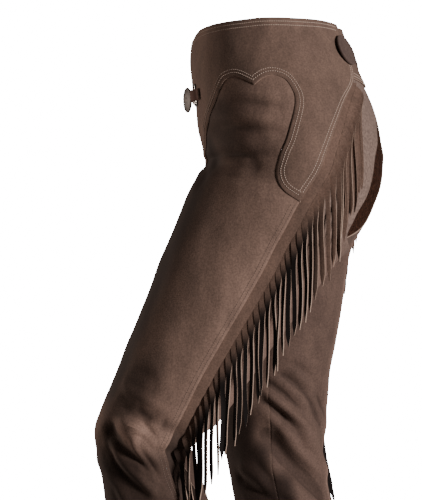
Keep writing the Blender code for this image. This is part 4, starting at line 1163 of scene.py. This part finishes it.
def disc(leg):
    """A leather-covered round: low dome, soft shoulder, a pressed ring inside it, flat underside."""
    r = DISC_RADIUS
    profile = [(0, 4.9), (4, 4.88), (8, 4.8), (12, 4.65), (15, 4.45), (16.6, 4.1), (17.4, 3.95), (18.2, 4.1),
               (19.4, 4.15), (20.4, 3.9), (r - 0.3, 3.3), (r, 2.4), (r - 0.1, 1.2), (r - 0.9, 0.35),
               (r - 2.4, 0.0), (12, 0.0), (5, 0.0), (0, 0.0)]
    fine = np.linspace(0, len(profile) - 1, 70)
    profile = np.stack([np.interp(fine, range(len(profile)), [p[k] for p in profile]) for k in (0, 1)], axis=-1)
    points = turned(profile, 84)
    top = points[..., 2:3] > 3.0
    points[..., 2] += 0.22 * waves(points, leg.seed + 9, 7, 26, 14) * top[..., 0]
    points = placed(points, *frame_at(leg, DISC_DOWN, DISC_ROUND, DISC_LIFT))
    out = frame_at(leg, DISC_DOWN, DISC_ROUND, DISC_LIFT)[3]
    faces = grid_faces(*points.shape[:2], wrap=True)
    outs = points - (points[0, 0] + points[-1, 0]) / 2 + out * 0.0
    faces = turned_out(points, faces, outs)
    wear_and_highlight = 0.35 * np.exp(-((np.arange(70) - 38) / 4.0) ** 2)[:, None] * np.ones((1, 84))
    piece = add_piece("disc_" + leg.word, points, faces, [DISC_SUEDE], wear_and_highlight, weld=True)
    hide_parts("back_disc_" + leg.word)
    return piece


def front_place(left, right, x, down):
    """The leg and degrees round of a place at x on the garment's front."""
    leg = left if x >= 0 else right
    share = (abs(x) - column(leg, "centre_x", down)) / column(leg, "half_width", down)
    return leg, float(np.degrees(np.arccos(share)))


def front_point(left, right, x, down, lift):
    leg, turn = front_place(left, right, x, down)
    at = [np.array(float(v)) for v in (down, turn)]
    return ring(leg, *at) + outward(leg, *at) * lift


def tie(left, right):
    """The strap over the rings: its lift follows the table's columns, with a slight bow across it and soft waves.
    """
    xs = np.linspace(TIE[0].x, TIE[-1].x, 90)
    lifts = smooth([c.x for c in TIE], [c.lift for c in TIE], xs)
    lifts = np.maximum(lifts, YOKE_RISE + PANEL + 0.5)
    downs = np.linspace(TIE_DOWN - TIE_TALL / 2, TIE_DOWN + TIE_TALL / 2, 9)
    points = np.array([[front_point(left, right, x, down, lift) for x, lift in zip(xs, lifts)] for down in downs])
    arch = 0.35 * np.sin(np.linspace(0, np.pi, 9))[:, None]
    points[..., 1] -= arch + 0.25 * waves(points, 31, 9, 30, 12)
    outs = np.broadcast_to(np.array([0.0, -1.0, 0.0]), points.shape)
    return add_sheet("leather_tie", "front_tie", points, outs, TIE_THICK, TIE_LEATHER,
                     np.zeros(points.shape[:2])), points


def ring_loop(name, left, right, x):
    """A round wire along a closed line with rounded corners: line + wire * (cos a * side + sin a * out)."""
    quarter = np.linspace(0, 90, 9)
    half_wide, half_tall = RING_WIDE / 2 - RING_CORNER, RING_TALL / 2 - RING_CORNER
    route = []
    for k, (sx, sy) in enumerate(((1, 1), (-1, 1), (-1, -1), (1, -1))):
        turns = np.radians(quarter + 90 * k)
        route.append(np.stack([sx * half_wide + RING_CORNER * np.cos(turns),
                               sy * half_tall + RING_CORNER * np.sin(turns)], axis=-1))
    route = np.concatenate(route)
    line = np.array([front_point(left, right, x + u, TIE_DOWN - v, RING_LIFT) for u, v in route])
    along = unit(np.roll(line, -1, axis=0) - np.roll(line, 1, axis=0))
    leg, turn = front_place(left, right, x, TIE_DOWN)
    out = outward(leg, np.array(TIE_DOWN), np.array(turn))
    beside = unit(np.cross(along, out))
    angle = np.arange(14) * 2 * np.pi / 14
    points = (line[:, None] + RING_WIRE * (np.cos(angle)[None, :, None] * beside[:, None]
                                           + np.sin(angle)[None, :, None] * out))
    points = np.concatenate([points, points[:1]])
    faces = grid_faces(*points.shape[:2], wrap=True)
    outs = points - np.concatenate([line, line[:1]])[:, None]
    piece = add_piece(name.replace("front_", ""), points, turned_out(points, faces, outs), [NICKEL],
                      weld=True)
    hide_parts(name)
    return piece


def concho(left, right):
    """A turned round on a stem: beaded rim, dished ring and low dome, turned a little to the left."""
    profile = np.array([
        (0, 10.1), (1.5, 10.05), (3.2, 9.7), (4.2, 9.2), (5.0, 9.3), (6.0, 9.4), (9, 9.0), (12, 8.4),
        (13.6, 7.8), (14.4, 7.7), (14.9, 8.3), (15.6, 8.7), (16.4, 8.5), (17, 7.9), (17, 6.6), (16.2, 6.1),
        (14, 5.8), (8, 5.7), (4, 5.6), (2.5, 3.0), (2.5, 0.0), (0, 0.0)])
    points = turned(profile, 96)
    rim = np.exp(-((profile[:, 0] - 15.7) / 0.9) ** 2) * (profile[:, 1] > 7.2)
    beads = 0.28 * np.cos(np.arange(96) * 2 * np.pi / 96 * 24)
    points[..., 2] += rim[:, None] * beads[None]
    tilt, turn = np.radians([CONCHO_TILT, CONCHO_TURN])
    tilted = np.array([[1, 0, 0], [0, np.cos(tilt), -np.sin(tilt)], [0, np.sin(tilt), np.cos(tilt)]])
    turned_left = np.array([[np.cos(turn), 0, np.sin(turn)], [0, 1, 0], [-np.sin(turn), 0, np.cos(turn)]])
    points = points @ (turned_left @ tilted).T
    leg, degrees = front_place(left, right, 0.0, TIE_DOWN)
    lift = TIE[len(TIE) // 2].lift + TIE_THICK + CONCHO_GAP
    origin, across, above, out = frame_at(leg, TIE_DOWN, degrees, lift)
    origin = np.array([0.0, origin[1], origin[2]])
    points = placed(points, origin, across, above, out)
    faces = grid_faces(*points.shape[:2], wrap=True)
    outs = points - origin - out * 5.5
    piece = add_piece("concho", points, turned_out(points, faces, outs), [DARK_METAL], weld=True)
    piece.data.set_sharp_from_angle(angle=np.radians(55))
    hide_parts("front_concho")
    return piece


def camera():
    data = bpy.data.cameras.new("Camera")
    data.lens = CAMERA_LENS
    data.sensor_width = 36
    view = bpy.data.objects.new("Camera", data)
    bpy.context.scene.collection.objects.link(view)
    turn = np.radians(CAMERA_AZIMUTH)
    back = Vector((np.sin(turn), -np.cos(turn), 0.0))
    view.location = Vector(CAMERA_TARGET) + back * CAMERA_DISTANCE
    view.rotation_mode = "QUATERNION"
    view.rotation_quaternion = (-back).to_track_quat("-Z", "Y")
    bpy.context.scene.camera = view


def area_light(name, location, aim, size, power, colour=(1.0, 1.0, 1.0)):
    data = bpy.data.lights.new(name, "AREA")
    data.size = size
    data.energy = power
    data.color = colour
    lamp = bpy.data.objects.new(name, data)
    bpy.context.scene.collection.objects.link(lamp)
    lamp.location = location
    lamp.rotation_mode = "QUATERNION"
    lamp.rotation_quaternion = (Vector(aim) - Vector(location)).to_track_quat("-Z", "Y")


def studio():
    """White surroundings, dim as a light, a large soft light from the back and left, and the floor."""
    world = bpy.data.worlds.new("Studio")
    bpy.context.scene.world = world
    world.use_nodes = True
    nodes, links = world.node_tree.nodes, world.node_tree.links
    back = nodes["Background"]
    path = nodes.new("ShaderNodeLightPath")
    bright = nodes.new("ShaderNodeMapRange")
    bright.inputs["To Min"].default_value = 0.075
    bright.inputs["To Max"].default_value = 20.0
    links.new(path.outputs["Is Camera Ray"], bright.inputs["Value"])
    back.inputs["Color"].default_value = (1, 1, 1, 1)
    links.new(bright.outputs["Result"], back.inputs["Strength"])
    area_light("Key", (3.25, 4.45, 0.55), (0.05, 0.0, -0.35), 0.9, 430)
    area_light("Fill", (-1.0, -2.65, -0.1), (0.0, -0.1, -0.4), 1.0, 48, (1.0, 0.84, 0.74))
    mesh = bpy.data.meshes.new("Floor")
    angle = np.arange(96) * 2 * np.pi / 96
    rim = [(0.75 * np.cos(a), 0.75 * np.sin(a), -0.986) for a in angle]
    mesh.from_pydata(rim, [], [list(range(96))])
    floor = bpy.data.objects.new("Floor", mesh)
    bpy.context.scene.collection.objects.link(floor)
    mesh.materials.append(plain("pale_floor", (236, 234, 232), 0.8, scale=6.0, depth=0.0001, contrast=0.02))


camera()
left = make_leg(1, "left", TRUNK + LEFT_LEG, LEFT_FOLDS, LEFT_CREASES, LEFT_PAINTED_SHADES, LEFT_RUNS, LEFT_LEAN,
                LEFT_STAND_OUT, 11)
right = make_leg(-1, "right", TRUNK + RIGHT_LEG, RIGHT_FOLDS, RIGHT_CREASES, RIGHT_PAINTED_SHADES, RIGHT_RUNS,
                 RIGHT_LEAN, RIGHT_STAND_OUT, 23)
band, band_points = back_yoke(left, right)
back_stitches(left, right)
for leg in (left, right):
    hip, hip_points = yoke(leg)
    front, front_points = front_panel(leg)
    back, back_points = back_panel(leg)
    strands = fringe(leg)
    yoke_sewing, leg_sewing = leg_stitches(leg)
    disc(leg)
    ring_loop("front_ring_" + leg.word, left, right, RING_X * leg.side)
strap, strap_points = tie(left, right)
concho(left, right)
studio()
